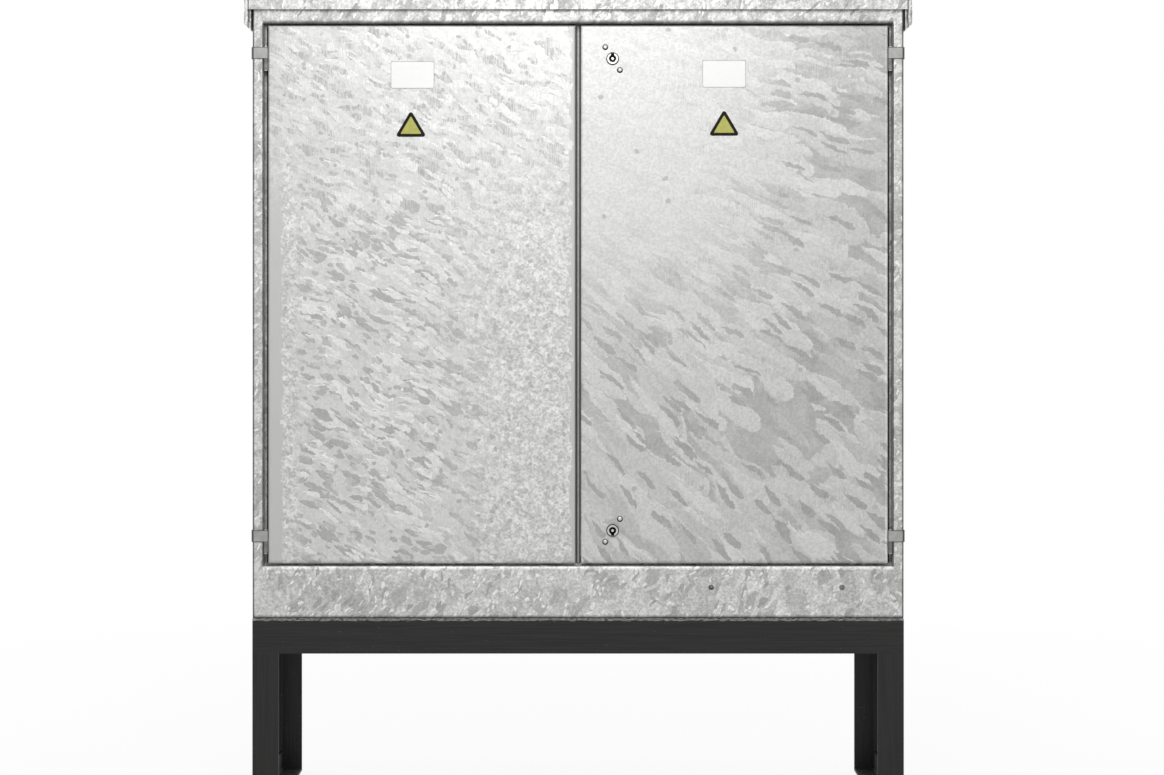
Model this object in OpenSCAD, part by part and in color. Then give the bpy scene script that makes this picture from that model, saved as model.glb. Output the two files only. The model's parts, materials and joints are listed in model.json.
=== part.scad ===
// Roadside utility cabinet: a galvanised double-door distribution cabinet on a black root frame.
// Millimetres, +Z up, front towards -Y, origin on the ground under the middle of the cabinet.

/* [Body] */
// Width of the cabinet body across its front
body_w = 1200; // [1000:10:1500]
// Depth of the cabinet body
body_d = 400; // [360:10:600]
// Thickness of the body sheet
sheet = 3; // [2:0.5:4]
// Inner radius of a fold in the body sheet
bend_r = 1; // [0.5:0.5:1.5]
// Width of the post on either side of the doors
post_w = 20; // [16:1:30]
// Height of the plinth face under the doors
sill_h = 96; // [80:1:140]
// Height of the door opening
opening_h = 1000; // [850:10:1300]
// Height of the lintel above the door opening
lintel_h = 100; // [85:1:140]
// Depth of the folded corners of the front frame and the side panels
corner_d = 45; // [42:1:60]
// Width of the flange round the open bottom
base_flange = 40; // [36:1:42]
// Width of the flange under the roof
top_flange = 30; // [24:1:40]
// Width of the flange that the doors close against
stop_w = 15; // [13:1:20]

/* [Roof] */
// Thickness of the roof sheet
roof_t = 2; // [1.5:0.5:3]
// Overhang of the roof past the front and the rear
roof_over = 10; // [6:1:30]
// Overhang of the roof past each side
roof_side = 15; // [12:1:30]
// Fall of the roof towards the rear, in degrees
roof_fall = 3; // [1:0.5:5]
// Height of lintel that shows under the fascia
lintel_show = 25; // [15:1:40]
// Drop of the side skirts below the fascia
skirt_drop = 26; // [10:1:40]
// Width of the front return of a side skirt
skirt_return = 8; // [6:1:10]
// Width of the relief slit beside the fascia
fascia_slit = 1; // [0.5:0.1:2]
// Gap left between the skirt's lip and the body
lip_gap = 1; // [0.5:0.5:4]
// Inner radius of a fold in the roof sheet
roof_bend = 2; // [1:0.5:2.5]
// Diameter of the studs that hold the roof down
roof_stud_d = 8; // [6:1:10]

/* [Root frame] */
// Height of the root frame under the body
root_h = 350; // [250:10:500]
// Thickness of the root frame's angle sections
root_t = 5; // [4:0.5:6]
// Width of a leg's flanges
leg_w = 48; // [40:1:60]
// Height of the ring beam
beam_h = 65; // [50:1:90]
// Width of the ring beam's top flange
beam_flange = 40; // [36:1:50]
// Height of a runner's upright flange
runner_h = 40; // [30:1:60]
// Fillet in the root of an angle section
root_fillet = 5; // [3:0.5:6]
// Diameter of an anchor hole in a runner
anchor_d = 14; // [10:1:18]
// Distance of an anchor hole from the front or rear face
anchor_inset = 50; // [45:1:90]
// Diameter of the bolts between body and root frame
root_bolt_d = 10; // [8:1:12]

/* [Doors] */
// Depth of a door pan
door_d = 25; // [22:1:35]
// Thickness of the door sheet
door_t = 2; // [1.5:0.5:2.5]
// Inner radius of a door edge
door_bend = 2; // [1:0.5:3]
// Gap between a door and its post
side_gap = 9; // [8.5:0.5:12]
// Gap between the two doors
meet_gap = 10; // [8:0.5:14]
// Gap above the doors
head_gap = 4; // [3:0.5:8]
// Gap below the doors
foot_gap = 5; // [3:0.5:8]
// Thickness of the door seal
seal_t = 3; // [2:0.5:5]
// Width of the door seal
seal_w = 10; // [8:0.5:11]

/* [Hinges] */
// Height of a hinge strap
strap_h = 21.5; // [16:0.5:30]
// Thickness of the hinge plates
strap_t = 2; // [1.5:0.5:2.5]
// Length of the strap's leg on the body side
strap_leg = 50; // [30:1:80]
// Outside diameter of the hinge knuckles
knuckle_d = 8; // [7:0.5:8.2]
// Diameter of the hinge pins
pin_d = 4; // [3:0.5:5]
// Height of the door leaf's knuckle
leaf_h = 20; // [14:1:30]
// Distance of a hinge strap's middle from the end of the door
hinge_inset = 50.5; // [48:0.5:90]

/* [Locks] */
// Distance of a lock from the door's meeting edge
lock_edge = 58.5; // [50:0.5:90]
// Distance of a lock from the end of the door
lock_end = 61; // [55:0.5:90]
// Diameter of the lock's outer ring
lock_ring_d = 23; // [20:0.5:28]
// Diameter of the lock's round recess
lock_recess_d = 13; // [11:0.5:15]
// Diameter of the key guide pin and width of the key slot
key_pin_d = 5.5; // [4:0.5:6.5]
// Spacing of a lock's two fixing screws
lock_screw_span = 50; // [44:1:60]
// Lean of the line through the fixing screws, in degrees
lock_lean = 32.5; // [20:0.5:45]
// Diameter of a lock screw
lock_screw_d = 6; // [4:0.5:6]
// Width of the sliding bolt bars
bolt_w = 20; // [14:1:24]
// Thickness of the sliding bolt bars
bolt_t = 4; // [3:0.5:5]
// Length of a lock bolt
lock_bolt_l = 75; // [70:1:85]
// Length of a shoot bolt
shoot_bolt_l = 240; // [180:5:280]

/* [Inside] */
// Thickness of the backboard
board_t = 18; // [12:1:25]
// Gap between the backboard and each side of the body
board_side = 57; // [52:1:120]
// Gap between the backboard and each end of the door opening
board_end = 50; // [20:1:120]
// Depth of the rails behind the backboard
rail_d = 30; // [20:1:50]
// Width of the main switch
switch_w = 180; // [140:5:220]
// Height of the main switch
switch_h = 220; // [180:5:280]
// Depth of the main switch's base
switch_base_d = 50; // [30:1:70]
// Depth of the main switch's cover
switch_cover_d = 45; // [30:1:60]
// Number of fuse ways
fuse_n = 3; // [3:1:3]
// Width of one fuse way
fuse_w = 56; // [46:1:70]
// Height of the fuse base
fuse_h = 240; // [200:5:280]
// Depth of the fuse base
fuse_base_d = 45; // [35:1:60]
// Length of the neutral bar
neutral_l = 260; // [200:10:320]
// Length between the earth bar's two bolts
earth_span = 241; // [160:1:300]
// Width of the earth bar
earth_bar_w = 30; // [20:1:40]
// Thickness of the earth bar
earth_bar_t = 6; // [4:1:8]

/* [Hidden] */
$fn = 48;
// Overrun of a cut past the face that it opens
over = 1;
// Radial clearance of a pin in its bore
pin_fit = 0.05;
// Clearance of a sliding piece in its guide, on each side
slide_fit = 0.3;
// Clearance of a bolt in its hole, on the radius
bolt_fit = 0.5;

// Body levels and faces
half_w = body_w / 2;
half_d = body_d / 2;
fold_r = sheet + bend_r;
open_hw = half_w - post_w;
open_z0 = root_h + sill_h;
open_z1 = open_z0 + opening_h;
top_z = open_z1 + lintel_h;
jamb_d = door_d + seal_t + sheet;
stop_y = -half_d + door_d + seal_t;
inner_y = half_d - sheet;

// Roof levels
roof_hw = half_w + roof_side;
roof_hd = half_d + roof_over;
fascia_z = open_z1 + lintel_show;
skirt_z = fascia_z - skirt_drop;
lip_w = roof_side - lip_gap - roof_t / sqrt(2);
roof_stud_x = half_w - 2 * corner_d;
roof_stud_l = 18;
roof_r = roof_t + roof_bend;

// Root frame places
beam_z = root_h - beam_h;
runner_w = leg_w - root_t;
anchor_x = half_w - root_t - (runner_w + root_t + root_fillet) / 2;
root_bolt_y = half_d - (base_flange + root_t + root_fillet) / 2;
root_bolt_xs = [for (share = [-3, -1, 1, 3]) share * (half_w - corner_d) / 4];
hex_share = 1.8;
bolt_head_share = 0.64;
bolt_tail_share = 1.5;
nut_share = 0.8;

// Door faces and levels
door_r = door_t + door_bend;
door_x0 = meet_gap / 2;
door_x1 = open_hw - side_gap;
door_w = door_x1 - door_x0;
door_z0 = open_z0 + foot_gap;
door_z1 = open_z1 - head_gap;
door_h = door_z1 - door_z0;
door_back_y = -half_d + door_d;
door_in_y = -half_d + door_t;

// Hinge axis and levels
hinge_x = open_hw - side_gap / 2;
hinge_y = -half_d - strap_t + knuckle_d / 2;
leaf_plate_l = door_d - door_r - door_t;
hinge_top_z = door_z1 - hinge_inset;
hinge_foot_z = door_z0 + hinge_inset;
end_gap = 0.2;
pin_head_h = 1.5;
pin_head_share = 1.6;
pin_head_d = pin_head_share * pin_d;

// Lock places
lock_x = door_x0 + lock_edge;
lock_top_z = door_z1 - lock_end;
lock_foot_z = door_z0 + lock_end;
lock_ring_h = 2.5;
lock_flange = 2;
lock_barrel_d = lock_ring_d - 2 * lock_flange;
lock_recess_h = 9;
lock_plate_t = 3;
lock_plate_w = lock_barrel_d + 2 * bend_r;
lock_screw_head_d = 11;
lock_screw_head_h = 3.3;
bolt_y = door_in_y + door_d / 2 - door_t;
guide_t = 2;
guide_h = 16;
guide_w = bolt_w + 2 * slide_fit + 2 * guide_t;
shoot_guide_shares = [0.3, 0.8];
shoot_knob_d = 12;
shoot_knob_l = 18;

// Stiffener and meeting strip
hat_top = 40;
hat_foot = 16;
hat_set_back = 6;
hat_d = door_d - door_t - hat_set_back;
hat_end = 70;
strip_t = 2;
strip_gap = 1;

// Backboard and rails
board_w = body_w - 2 * (sheet + board_side);
board_h = opening_h - 2 * board_end;
board_y = inner_y - rail_d - board_t;
board_z0 = open_z0 + board_end;
rail_top = 50;
rail_foot = 25;
rail_end = 30;
rail_l = board_w - 2 * rail_end;
rail_t = 2;
rail_z_shares = [0.12, 0.88];
board_bolt_x_share = 0.42;
board_bolt_d = 8;

// Inside equipment
switch_x = -board_w / 4;
switch_z = board_z0 + board_h / 2;
equip_r = 8;
cover_t = 3;
shaft_d = 12;
knob_d = 60;
knob_h = 12;
grip_w = 14;
grip_h = 22;
fuse_x = board_w / 5;
fuse_z = switch_z;
fuse_gap = 2;
fuse_wall = 5;
carrier_h_share = 0.66;
carrier_grip_d = 18;
carrier_grip_w_share = 0.36;
carrier_grip_h_share = 0.5;
neutral_z = board_z0 + board_h / 5;
neutral_w = 25;
neutral_t = 6;
standoff_d = 24;
standoff_h = 30;
terminal_n = 8;
terminal_d = 7;
earth_side = 114;
earth_rise = 57;
earth_x = half_w - earth_side - earth_span / 2;
earth_z = root_h + earth_rise;
earth_end = 20;
earth_gap = 12;
earth_bolt_d = 6;
earth_head_d = 10;
earth_head_h = 3.5;
spacer_d = 14;

// Colours
zinc = [0.80, 0.81, 0.81];
strap_grey = [0.62, 0.63, 0.63];
root_black = [0.10, 0.10, 0.10];
steel = [0.70, 0.71, 0.72];
dark = [0.16, 0.16, 0.17];
brass = [0.78, 0.62, 0.30];
copper = [0.72, 0.45, 0.30];
ply = [0.76, 0.62, 0.42];
pale_grey = [0.86, 0.86, 0.84];
red = [0.70, 0.10, 0.08];

// A rectangle from the origin with all four corners rounded
module round_square(w, h, r) {
  difference() {
    square([w, h]);
    for (x = [0, 1], y = [0, 1])
      translate([x * w, y * h]) mirror([x, 0]) mirror([0, y]) corner_waste(r);
  }
}

// A rectangle from the origin with its two corners on the X axis rounded
module round_foot(w, h, r) {
  difference() {
    square([w, h]);
    for (x = [0, 1])
      translate([x * w, 0]) mirror([x, 0]) corner_waste(r);
  }
}

// The waste outside a rounded corner at the origin
module corner_waste(r) {
  difference() {
    translate([-over, -over]) square(r + over);
    translate([r, r]) circle(r);
  }
}

// A quarter of a fold's section, from the +X side round to the +Y side
module fold_section(inner, outer) {
  intersection() {
    difference() {
      circle(outer);
      circle(inner);
    }
    square(outer);
  }
}

// Extrudes a section along X, with its X upwards and its Y kept
module along_x(l) {
  translate([l / 2, 0, 0]) rotate([0, -90, 0]) linear_extrude(l) children();
}

// Extrudes a front view outline, drawn in X and Z, along Y from y0
module along_y(y0, l) {
  translate([0, y0 + l, 0]) rotate([90, 0, 0]) linear_extrude(l) children();
}

// A box with rounded corners and front edges, centred on X and Z, from y = 0 to the rear
module moulded_box(w, h, d, r) {
  intersection() {
    translate([-w / 2, 0, -h / 2]) along_y(0, d) round_square(w, h, r);
    translate([-w / 2, 0, -h / 2]) linear_extrude(h) round_foot(w, d, r);
    translate([0, 0, -h / 2]) along_x(w) round_foot(h, d, r);
  }
}

// A hat section drawn on its feet, centred on X, standing up along Y, bent to radii of one sheet
module hat_section(top, foot, d, t) {
  outer = 2 * t;
  for (s = [0, 1]) mirror([s, 0]) {
    translate([top / 2 + t, 0]) square([foot - t, t]);
    translate([top / 2 + t, outer]) rotate(180) fold_section(t, outer);
    translate([top / 2 - t, outer]) square([t, d - 2 * outer]);
    translate([top / 2 - outer, d - outer]) fold_section(t, outer);
  }
  translate([outer - top / 2, d - t]) square([top - 2 * outer, t]);
}

// A button head standing along +Z
module button_head(d, h) {
  r = (d * d / 4 + h * h) / (2 * h);
  rotate_extrude() intersection() {
    translate([0, h - r]) circle(r);
    square([d / 2, h]);
  }
}

// A hexagon of a bolt or nut standing along +Z
module hexagon(d, h) {
  cylinder(d = d * hex_share, h = h, $fn = 6);
}

// Puts its children on both sides of the middle plane, the left one mirrored
module both_sides() {
  children();
  mirror([1, 0, 0]) children();
}

// Root frame

// A rolled angle section with its heel at the origin
module angle_section(w, h, t, fillet) {
  square([w, t]);
  square([t, h]);
  difference() {
    square(t + fillet);
    translate([t + fillet, t + fillet]) circle(fillet);
  }
}

module leg(sx, sy) {
  color(root_black)
    translate([sx * half_w, sy * half_d, 0])
      mirror([sx > 0 ? 1 : 0, 0, 0]) mirror([0, sy > 0 ? 1 : 0, 0])
        linear_extrude(beam_z) angle_section(leg_w, leg_w, root_t, root_fillet);
}

// One side of the mitred ring, drawn at the front of a ring that is l long and w deep
module ring_side(l, w) {
  intersection() {
    translate([0, -w / 2, root_h]) mirror([0, 0, 1])
      along_x(l) angle_section(beam_h, beam_flange, root_t, root_fillet);
    translate([0, 0, beam_z - over]) linear_extrude(beam_h + 2 * over)
      polygon([[-l / 2, -w / 2], [l / 2, -w / 2],
        [l / 2 - beam_flange, -w / 2 + beam_flange], [-l / 2 + beam_flange, -w / 2 + beam_flange]]);
  }
}

module long_beam(sy) {
  color(root_black) difference() {
    mirror([0, sy > 0 ? 1 : 0, 0]) ring_side(body_w, body_d);
    at_root_bolts(sy) translate([0, 0, -beam_h]) cylinder(d = root_bolt_d + 2 * bolt_fit, h = 2 * beam_h);
  }
}

module short_beam(sx) {
  color(root_black)
    mirror([sx > 0 ? 1 : 0, 0, 0]) rotate([0, 0, -90]) ring_side(body_d, body_w);
}

module runner(sx) {
  run = body_d - 2 * (root_t + root_fillet);
  color(root_black) difference() {
    translate([sx * (half_w - root_t), 0, 0]) mirror([sx > 0 ? 1 : 0, 0, 0])
      rotate([0, 0, 90]) mirror([0, 1, 0])
        along_x(run) angle_section(runner_h, runner_w, root_t, root_fillet);
    for (sy = [-1, 1])
      translate([sx * anchor_x, sy * (half_d - anchor_inset), -over])
        cylinder(d = anchor_d, h = root_t + 2 * over);
  }
}

// Places on the joint between the body's flange and the ring beam
module at_root_bolts(sy) {
  for (x = root_bolt_xs) translate([x, sy * root_bolt_y, root_h]) children();
}

module root_bolts() {
  shank = sheet + root_t + bolt_tail_share * root_bolt_d;
  color(steel) for (sy = [-1, 1]) at_root_bolts(sy) {
    translate([0, 0, sheet]) hexagon(root_bolt_d, root_bolt_d * bolt_head_share);
    translate([0, 0, sheet - shank]) cylinder(d = root_bolt_d, h = shank);
  }
}

module root_nuts() {
  color(steel) for (sy = [-1, 1]) at_root_bolts(sy)
    translate([0, 0, -root_t - root_bolt_d * nut_share]) difference() {
      hexagon(root_bolt_d, root_bolt_d * nut_share);
      translate([0, 0, -over]) cylinder(d = root_bolt_d, h = root_bolt_d * nut_share + 2 * over);
    }
}

// Body

// Everything above the sloping top of the body, lowered by drop
module above_top(drop) {
  translate([0, -half_d, top_z - drop]) rotate([-roof_fall, 0, 0])
    translate([-body_w, -body_d, 0]) cube([2 * body_w, 3 * body_d, body_d]);
}

// The body as a block, inset from its outer faces, with rounded vertical and bottom edges
module body_block(inset, r) {
  w = body_w - 2 * inset;
  d = body_d - 2 * inset;
  h = top_z - root_h;
  difference() {
    intersection() {
      translate([-w / 2, -d / 2, root_h + inset]) linear_extrude(h) round_square(w, d, r);
      translate([-w / 2, 0, root_h + inset]) along_y(-body_d, 2 * body_d) round_foot(w, h, r);
      translate([0, d / 2, root_h + inset]) rotate([0, 0, -90])
        along_y(-body_w, 2 * body_w) round_foot(d, h, r);
    }
    above_top(inset / cos(roof_fall));
  }
}

// The body's folded sheet, open at the bottom and the top inside its flanges
module body_sheet() {
  difference() {
    body_block(0, fold_r);
    body_block(sheet, bend_r);
    translate([-half_w + base_flange, -half_d + base_flange, root_h - over])
      cube([body_w - 2 * base_flange, body_d - 2 * base_flange, sheet + 2 * over]);
    translate([-half_w + top_flange, -half_d + top_flange, open_z1])
      cube([body_w - 2 * top_flange, body_d - 2 * top_flange, 2 * lintel_h]);
    for (sy = [-1, 1]) at_root_bolts(sy) translate([0, 0, -over])
      cylinder(d = root_bolt_d + 2 * bolt_fit, h = sheet + 2 * over);
    at_roof_studs() translate([0, 0, -2 * sheet])
      cylinder(d = roof_stud_d + 2 * bolt_fit, h = 3 * sheet);
  }
}

// The slice of the body between two planes, drawn as a block over the body's full height
module body_zone(x0, x1, y0, y1) {
  translate([x0, y0, root_h - over]) cube([x1 - x0, y1 - y0, top_z]);
}

// Section of the fold round the door opening: u outwards along X, depth along Y
module jamb_section() {
  translate([fold_r, fold_r]) rotate(180) fold_section(bend_r, fold_r);
  translate([0, fold_r]) square([sheet, jamb_d - 2 * fold_r]);
  translate([-bend_r, jamb_d - fold_r]) fold_section(bend_r, fold_r);
  translate([-stop_w, jamb_d - sheet]) square([stop_w - bend_r, sheet]);
}

// The four mitred folds round the door opening
module jamb_ring() {
  reach = stop_w + fold_r;
  z_mid = (open_z0 + open_z1) / 2;
  for (s = [0, 1]) mirror([s, 0, 0]) intersection() {
    translate([open_hw, -half_d, open_z0 - reach]) linear_extrude(opening_h + 2 * reach) jamb_section();
    along_y(-half_d - over, jamb_d + 2 * over)
      polygon([[open_hw - reach, open_z0 + reach], [open_hw + reach, open_z0 - reach],
        [open_hw + reach, open_z1 + reach], [open_hw - reach, open_z1 - reach]]);
  }
  for (s = [0, 1]) translate([0, 0, z_mid]) mirror([0, 0, s]) translate([0, 0, -z_mid]) intersection() {
    translate([0, -half_d, open_z1]) along_x(2 * (open_hw + reach)) jamb_section();
    along_y(-half_d - over, jamb_d + 2 * over)
      polygon([[-open_hw + reach, open_z1 - reach], [open_hw - reach, open_z1 - reach],
        [open_hw + reach, open_z1 + reach], [-open_hw - reach, open_z1 + reach]]);
  }
}

module front_frame() {
  slot_w = bolt_w + 4 * slide_fit;
  slot_t = bolt_t + 4 * slide_fit;
  color(zinc) difference() {
    union() {
      difference() {
        intersection() {
          body_sheet();
          body_zone(-body_w, body_w, -body_d, -half_d + corner_d);
        }
        translate([-open_hw - fold_r, -half_d - over, open_z0 - fold_r])
          cube([2 * (open_hw + fold_r), sheet + 2 * over, opening_h + 2 * fold_r]);
      }
      jamb_ring();
    }
    // Keeper slots for the bolts of both doors
    for (x = [-lock_x, lock_x], z = [open_z0 - sheet - over, open_z1 - over])
      translate([x - slot_w / 2, bolt_y + bolt_t / 2 - slot_t / 2, z])
        cube([slot_w, slot_t, sheet + 2 * over]);
    // Holes of the earth bar's bolts
    at_earth_bolts() translate([0, 0, -over])
      cylinder(d = earth_bolt_d + 2 * bolt_fit, h = sheet + 2 * over);
  }
}

module side_panel(sx) {
  color(zinc) mirror([sx > 0 ? 1 : 0, 0, 0]) intersection() {
    body_sheet();
    body_zone(-body_w, -half_w + corner_d, -half_d + corner_d, body_d);
  }
}

module back_panel() {
  color(zinc) intersection() {
    body_sheet();
    body_zone(-half_w + corner_d, half_w - corner_d, 0, body_d);
  }
}

// Roof

// Places on the sloping top of the body where a roof stud passes through the flange
module at_roof_studs() {
  run = body_d / cos(roof_fall);
  for (x = [-roof_stud_x, roof_stud_x], along = [top_flange / 2, run - top_flange / 2])
    translate([x, -half_d, top_z]) rotate([-roof_fall, 0, 0]) translate([0, along, 0]) children();
}

// Height of the roof's sloping top at the depth y, inset from its outer face
function roof_top(y, inset) = top_z + (roof_t - inset) / cos(roof_fall) - (y + half_d) * tan(roof_fall);

// The waste outside the roof's front or rear fold, drawn with its X upwards
module roof_fold_waste(s, inset) {
  r = roof_r - inset;
  y = s * (roof_hd - inset - r);
  z = roof_top(y, inset) - r / cos(roof_fall);
  out = s * (roof_hd - inset + over);
  difference() {
    polygon([[z, y], [z, out], [z + 2 * r, out],
      [z + (r + over) * cos(roof_fall), y + (r + over) * sin(roof_fall)]]);
    translate([z, y]) circle(r);
  }
}

// The roof's side outline, drawn with its X upwards, from z0 up
module roof_outline(inset, z0) {
  d = roof_hd - inset;
  difference() {
    polygon([[z0, -d], [z0, d], [roof_top(d, inset), d], [roof_top(-d, inset), -d]]);
    for (s = [-1, 1]) roof_fold_waste(s, inset);
  }
}

// The roof as a block with rounded edges and a sloping top, inset from its outer faces, from z0 up
module roof_block(inset, z0) {
  w = 2 * (roof_hw - inset);
  d = 2 * (roof_hd - inset);
  r = roof_r - inset;
  intersection() {
    along_x(w + 2 * over) roof_outline(inset, z0);
    translate([-w / 2, -d / 2, z0 - over]) linear_extrude(body_d) round_square(w, d, r);
    translate([0, -half_d, top_z]) rotate([-roof_fall, 0, 0]) translate([-w / 2, 0, roof_t - inset])
      along_y(-body_d, 3 * body_d) mirror([0, 1]) round_foot(w, body_d, r);
  }
}

// Return at the end of a skirt's lip, drawn in X and Z from the skirt's lower edge
module lip_return() {
  rise = skirt_return * sqrt(2);
  sunk = roof_t / 2;
  polygon([[sunk, 0], [lip_w, sunk - lip_w], [lip_w, rise - lip_w], [skirt_return, rise - skirt_return]]);
}

// Plate that closes the end of a skirt, drawn in X and Z from the skirt's lower edge
module skirt_stop() {
  top = skirt_drop + skirt_return;
  polygon([[roof_t / 2, 0], [lip_w, roof_t / 2 - lip_w], [lip_w, top], [roof_t / 2, top]]);
}

module roof_lid() {
  lip_z = skirt_z - roof_side;
  color(zinc) {
    difference() {
      roof_block(0, skirt_z);
      roof_block(roof_t, skirt_z - over);
      // The fascias end higher than the skirts
      translate([-roof_hw + skirt_return, -body_d, skirt_z - over])
        cube([2 * (roof_hw - skirt_return), 2 * body_d, skirt_drop + over]);
      // Relief slits between the fascias and the skirts' returns
      for (x = [-roof_hw + skirt_return, roof_hw - skirt_return - fascia_slit], sy = [-1, 1])
        translate([x, sy * roof_hd - roof_t - over, skirt_z - over])
          cube([fascia_slit, 2 * (roof_t + over), top_z - 2 * roof_t - body_d * tan(roof_fall) - skirt_z]);
    }
    // Lips folded in under the skirts, with their ends returned and closed
    intersection() {
      translate([-roof_hw, -roof_hd, lip_z]) linear_extrude(top_z - lip_z)
        round_square(2 * roof_hw, 2 * roof_hd, roof_r);
      for (s = [0, 1]) mirror([s, 0, 0]) translate([-roof_hw, 0, skirt_z]) {
        along_y(-roof_hd, 2 * roof_hd) rotate(-45) square([lip_w * sqrt(2), roof_t]);
        for (y = [-roof_hd, roof_hd - roof_t]) along_y(y, roof_t) lip_return();
        for (y = [-half_d, half_d - roof_t]) along_y(y, roof_t) skirt_stop();
      }
    }
    at_roof_studs() translate([0, 0, -roof_stud_l]) cylinder(d = roof_stud_d, h = roof_stud_l + roof_t / 2);
  }
}

module roof_nuts() {
  color(steel) at_roof_studs() translate([0, 0, -sheet - roof_stud_d * nut_share]) difference() {
    hexagon(roof_stud_d, roof_stud_d * nut_share);
    translate([0, 0, -over]) cylinder(d = roof_stud_d, h = roof_stud_d * nut_share + 2 * over);
  }
}

// Doors

module door_seal() {
  t = seal_t - slide_fit;
  outer = stop_w - seal_w - bend_r;
  color(dark) translate([0, stop_y - t, 0]) difference() {
    translate([-open_hw + outer, 0, open_z0 + outer])
      cube([2 * (open_hw - outer), t, opening_h - 2 * outer]);
    translate([-open_hw + outer + seal_w, -over, open_z0 + outer + seal_w])
      cube([2 * (open_hw - outer - seal_w), t + 2 * over, opening_h - 2 * (outer + seal_w)]);
  }
}

// The block of the right door, inset from its outer faces, with rounded front edges
module door_block(inset, r, back) {
  w = door_w - 2 * inset;
  h = door_h - 2 * inset;
  d = door_d - inset + back;
  intersection() {
    translate([door_x0 + inset, -half_d + inset, door_z0 + inset]) linear_extrude(h) round_foot(w, d, r);
    translate([(door_x0 + door_x1) / 2, -half_d + inset, door_z0 + inset]) along_x(w) round_foot(h, d, r);
  }
}

// The right door's folded pan, with the slots that its bolts slide in
module door_pan() {
  slot_w = bolt_w + 2 * slide_fit;
  slot_t = bolt_t + 2 * slide_fit;
  difference() {
    door_block(0, door_r, 0);
    door_block(door_t, door_bend, over);
    for (z = [door_z0 - over, door_z1 - door_t - over])
      translate([lock_x - slot_w / 2, bolt_y - slide_fit, z]) cube([slot_w, slot_t, door_t + 2 * over]);
  }
}

module left_door_pan() {
  color(zinc) mirror([1, 0, 0]) door_pan();
}

module right_door_pan() {
  color(zinc) difference() {
    door_pan();
    at_locks() {
      translate([0, 0, -over]) cylinder(d = lock_barrel_d + 2 * bolt_fit, h = door_t + 2 * over);
      at_lock_screws() translate([0, 0, -over])
        cylinder(d = lock_screw_d + 2 * bolt_fit, h = door_t + 2 * over);
    }
  }
}

module stiffener(sx) {
  color(zinc) translate([sx * (door_x0 + door_x1) / 2, door_in_y, door_z0 + hat_end])
    linear_extrude(door_h - 2 * hat_end) hat_section(hat_top, hat_foot, hat_d, door_t);
}

module meeting_strip() {
  back = door_back_y + slide_fit;
  x0 = -door_x0 - door_t - strip_t;
  x1 = door_x0 - strip_gap;
  z0 = open_z0 + stop_w + strip_gap;
  h = opening_h - 2 * (stop_w + strip_gap);
  color(zinc) {
    translate([x0, door_in_y + door_bend, z0]) cube([strip_t, back - door_in_y - door_bend, h]);
    translate([x0, back, z0]) cube([x1 - x0, strip_t, h]);
    // Rib that fills the gap over the whole height of the doors
    translate([-door_x0 + slide_fit, back - strip_t, door_z0])
      cube([x1 + door_x0 - slide_fit, strip_t, door_h]);
  }
}

// A flat bolt bar on the right door's bolt line, from z0 to z1
module bolt_bar(z0, z1) {
  translate([lock_x - bolt_w / 2, bolt_y, z0]) cube([bolt_w, bolt_t, z1 - z0]);
}

// Two guides of one shoot bolt, on the left door, drawn for the top bolt
module shoot_guides() {
  foot = bolt_y + bolt_t + slide_fit + guide_t - door_in_y;
  z0 = door_z1 - shoot_bolt_l;
  for (share = shoot_guide_shares)
    translate([-lock_x - guide_w / 2, door_in_y, z0 + share * shoot_bolt_l]) difference() {
      cube([guide_w, foot, guide_h]);
      translate([guide_t, -over, -over])
        cube([guide_w - 2 * guide_t, foot - guide_t + over, guide_h + 2 * over]);
    }
}

// Puts its children at the top as drawn, and again mirrored at the bottom of the doors
module top_and_foot() {
  z_mid = (door_z0 + door_z1) / 2;
  children();
  translate([0, 0, z_mid]) mirror([0, 0, 1]) translate([0, 0, -z_mid]) children();
}

module shoot_bolt_guides() {
  color(steel) top_and_foot() shoot_guides();
}

// A shoot bolt on the left door with its knob, drawn for the top
module shoot_bolt() {
  z0 = door_z1 - shoot_bolt_l;
  color(steel) {
    mirror([1, 0, 0]) bolt_bar(z0, door_z1 - slide_fit);
    translate([-lock_x, bolt_y + bolt_t / 2, z0 + shoot_knob_d]) rotate([-90, 0, 0])
      cylinder(d = shoot_knob_d, h = shoot_knob_l);
  }
}

module at_foot() {
  z_mid = (door_z0 + door_z1) / 2;
  translate([0, 0, z_mid]) mirror([0, 0, 1]) translate([0, 0, -z_mid]) children();
}

// Locks

// Places of the locks on the right door's face, with Z into the door and Y towards the door's end
module at_locks() {
  for (top = [true, false]) at_lock(top) children();
}

module at_lock(top) {
  translate([lock_x, -half_d, top ? lock_top_z : lock_foot_z]) rotate([-90, 0, 0])
    mirror([0, top ? 1 : 0, 0]) children();
}

// Places of a lock's two screws
module at_lock_screws() {
  for (s = [-1, 1]) rotate(lock_lean) translate([0, s * lock_screw_span / 2, 0]) children();
}

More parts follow.
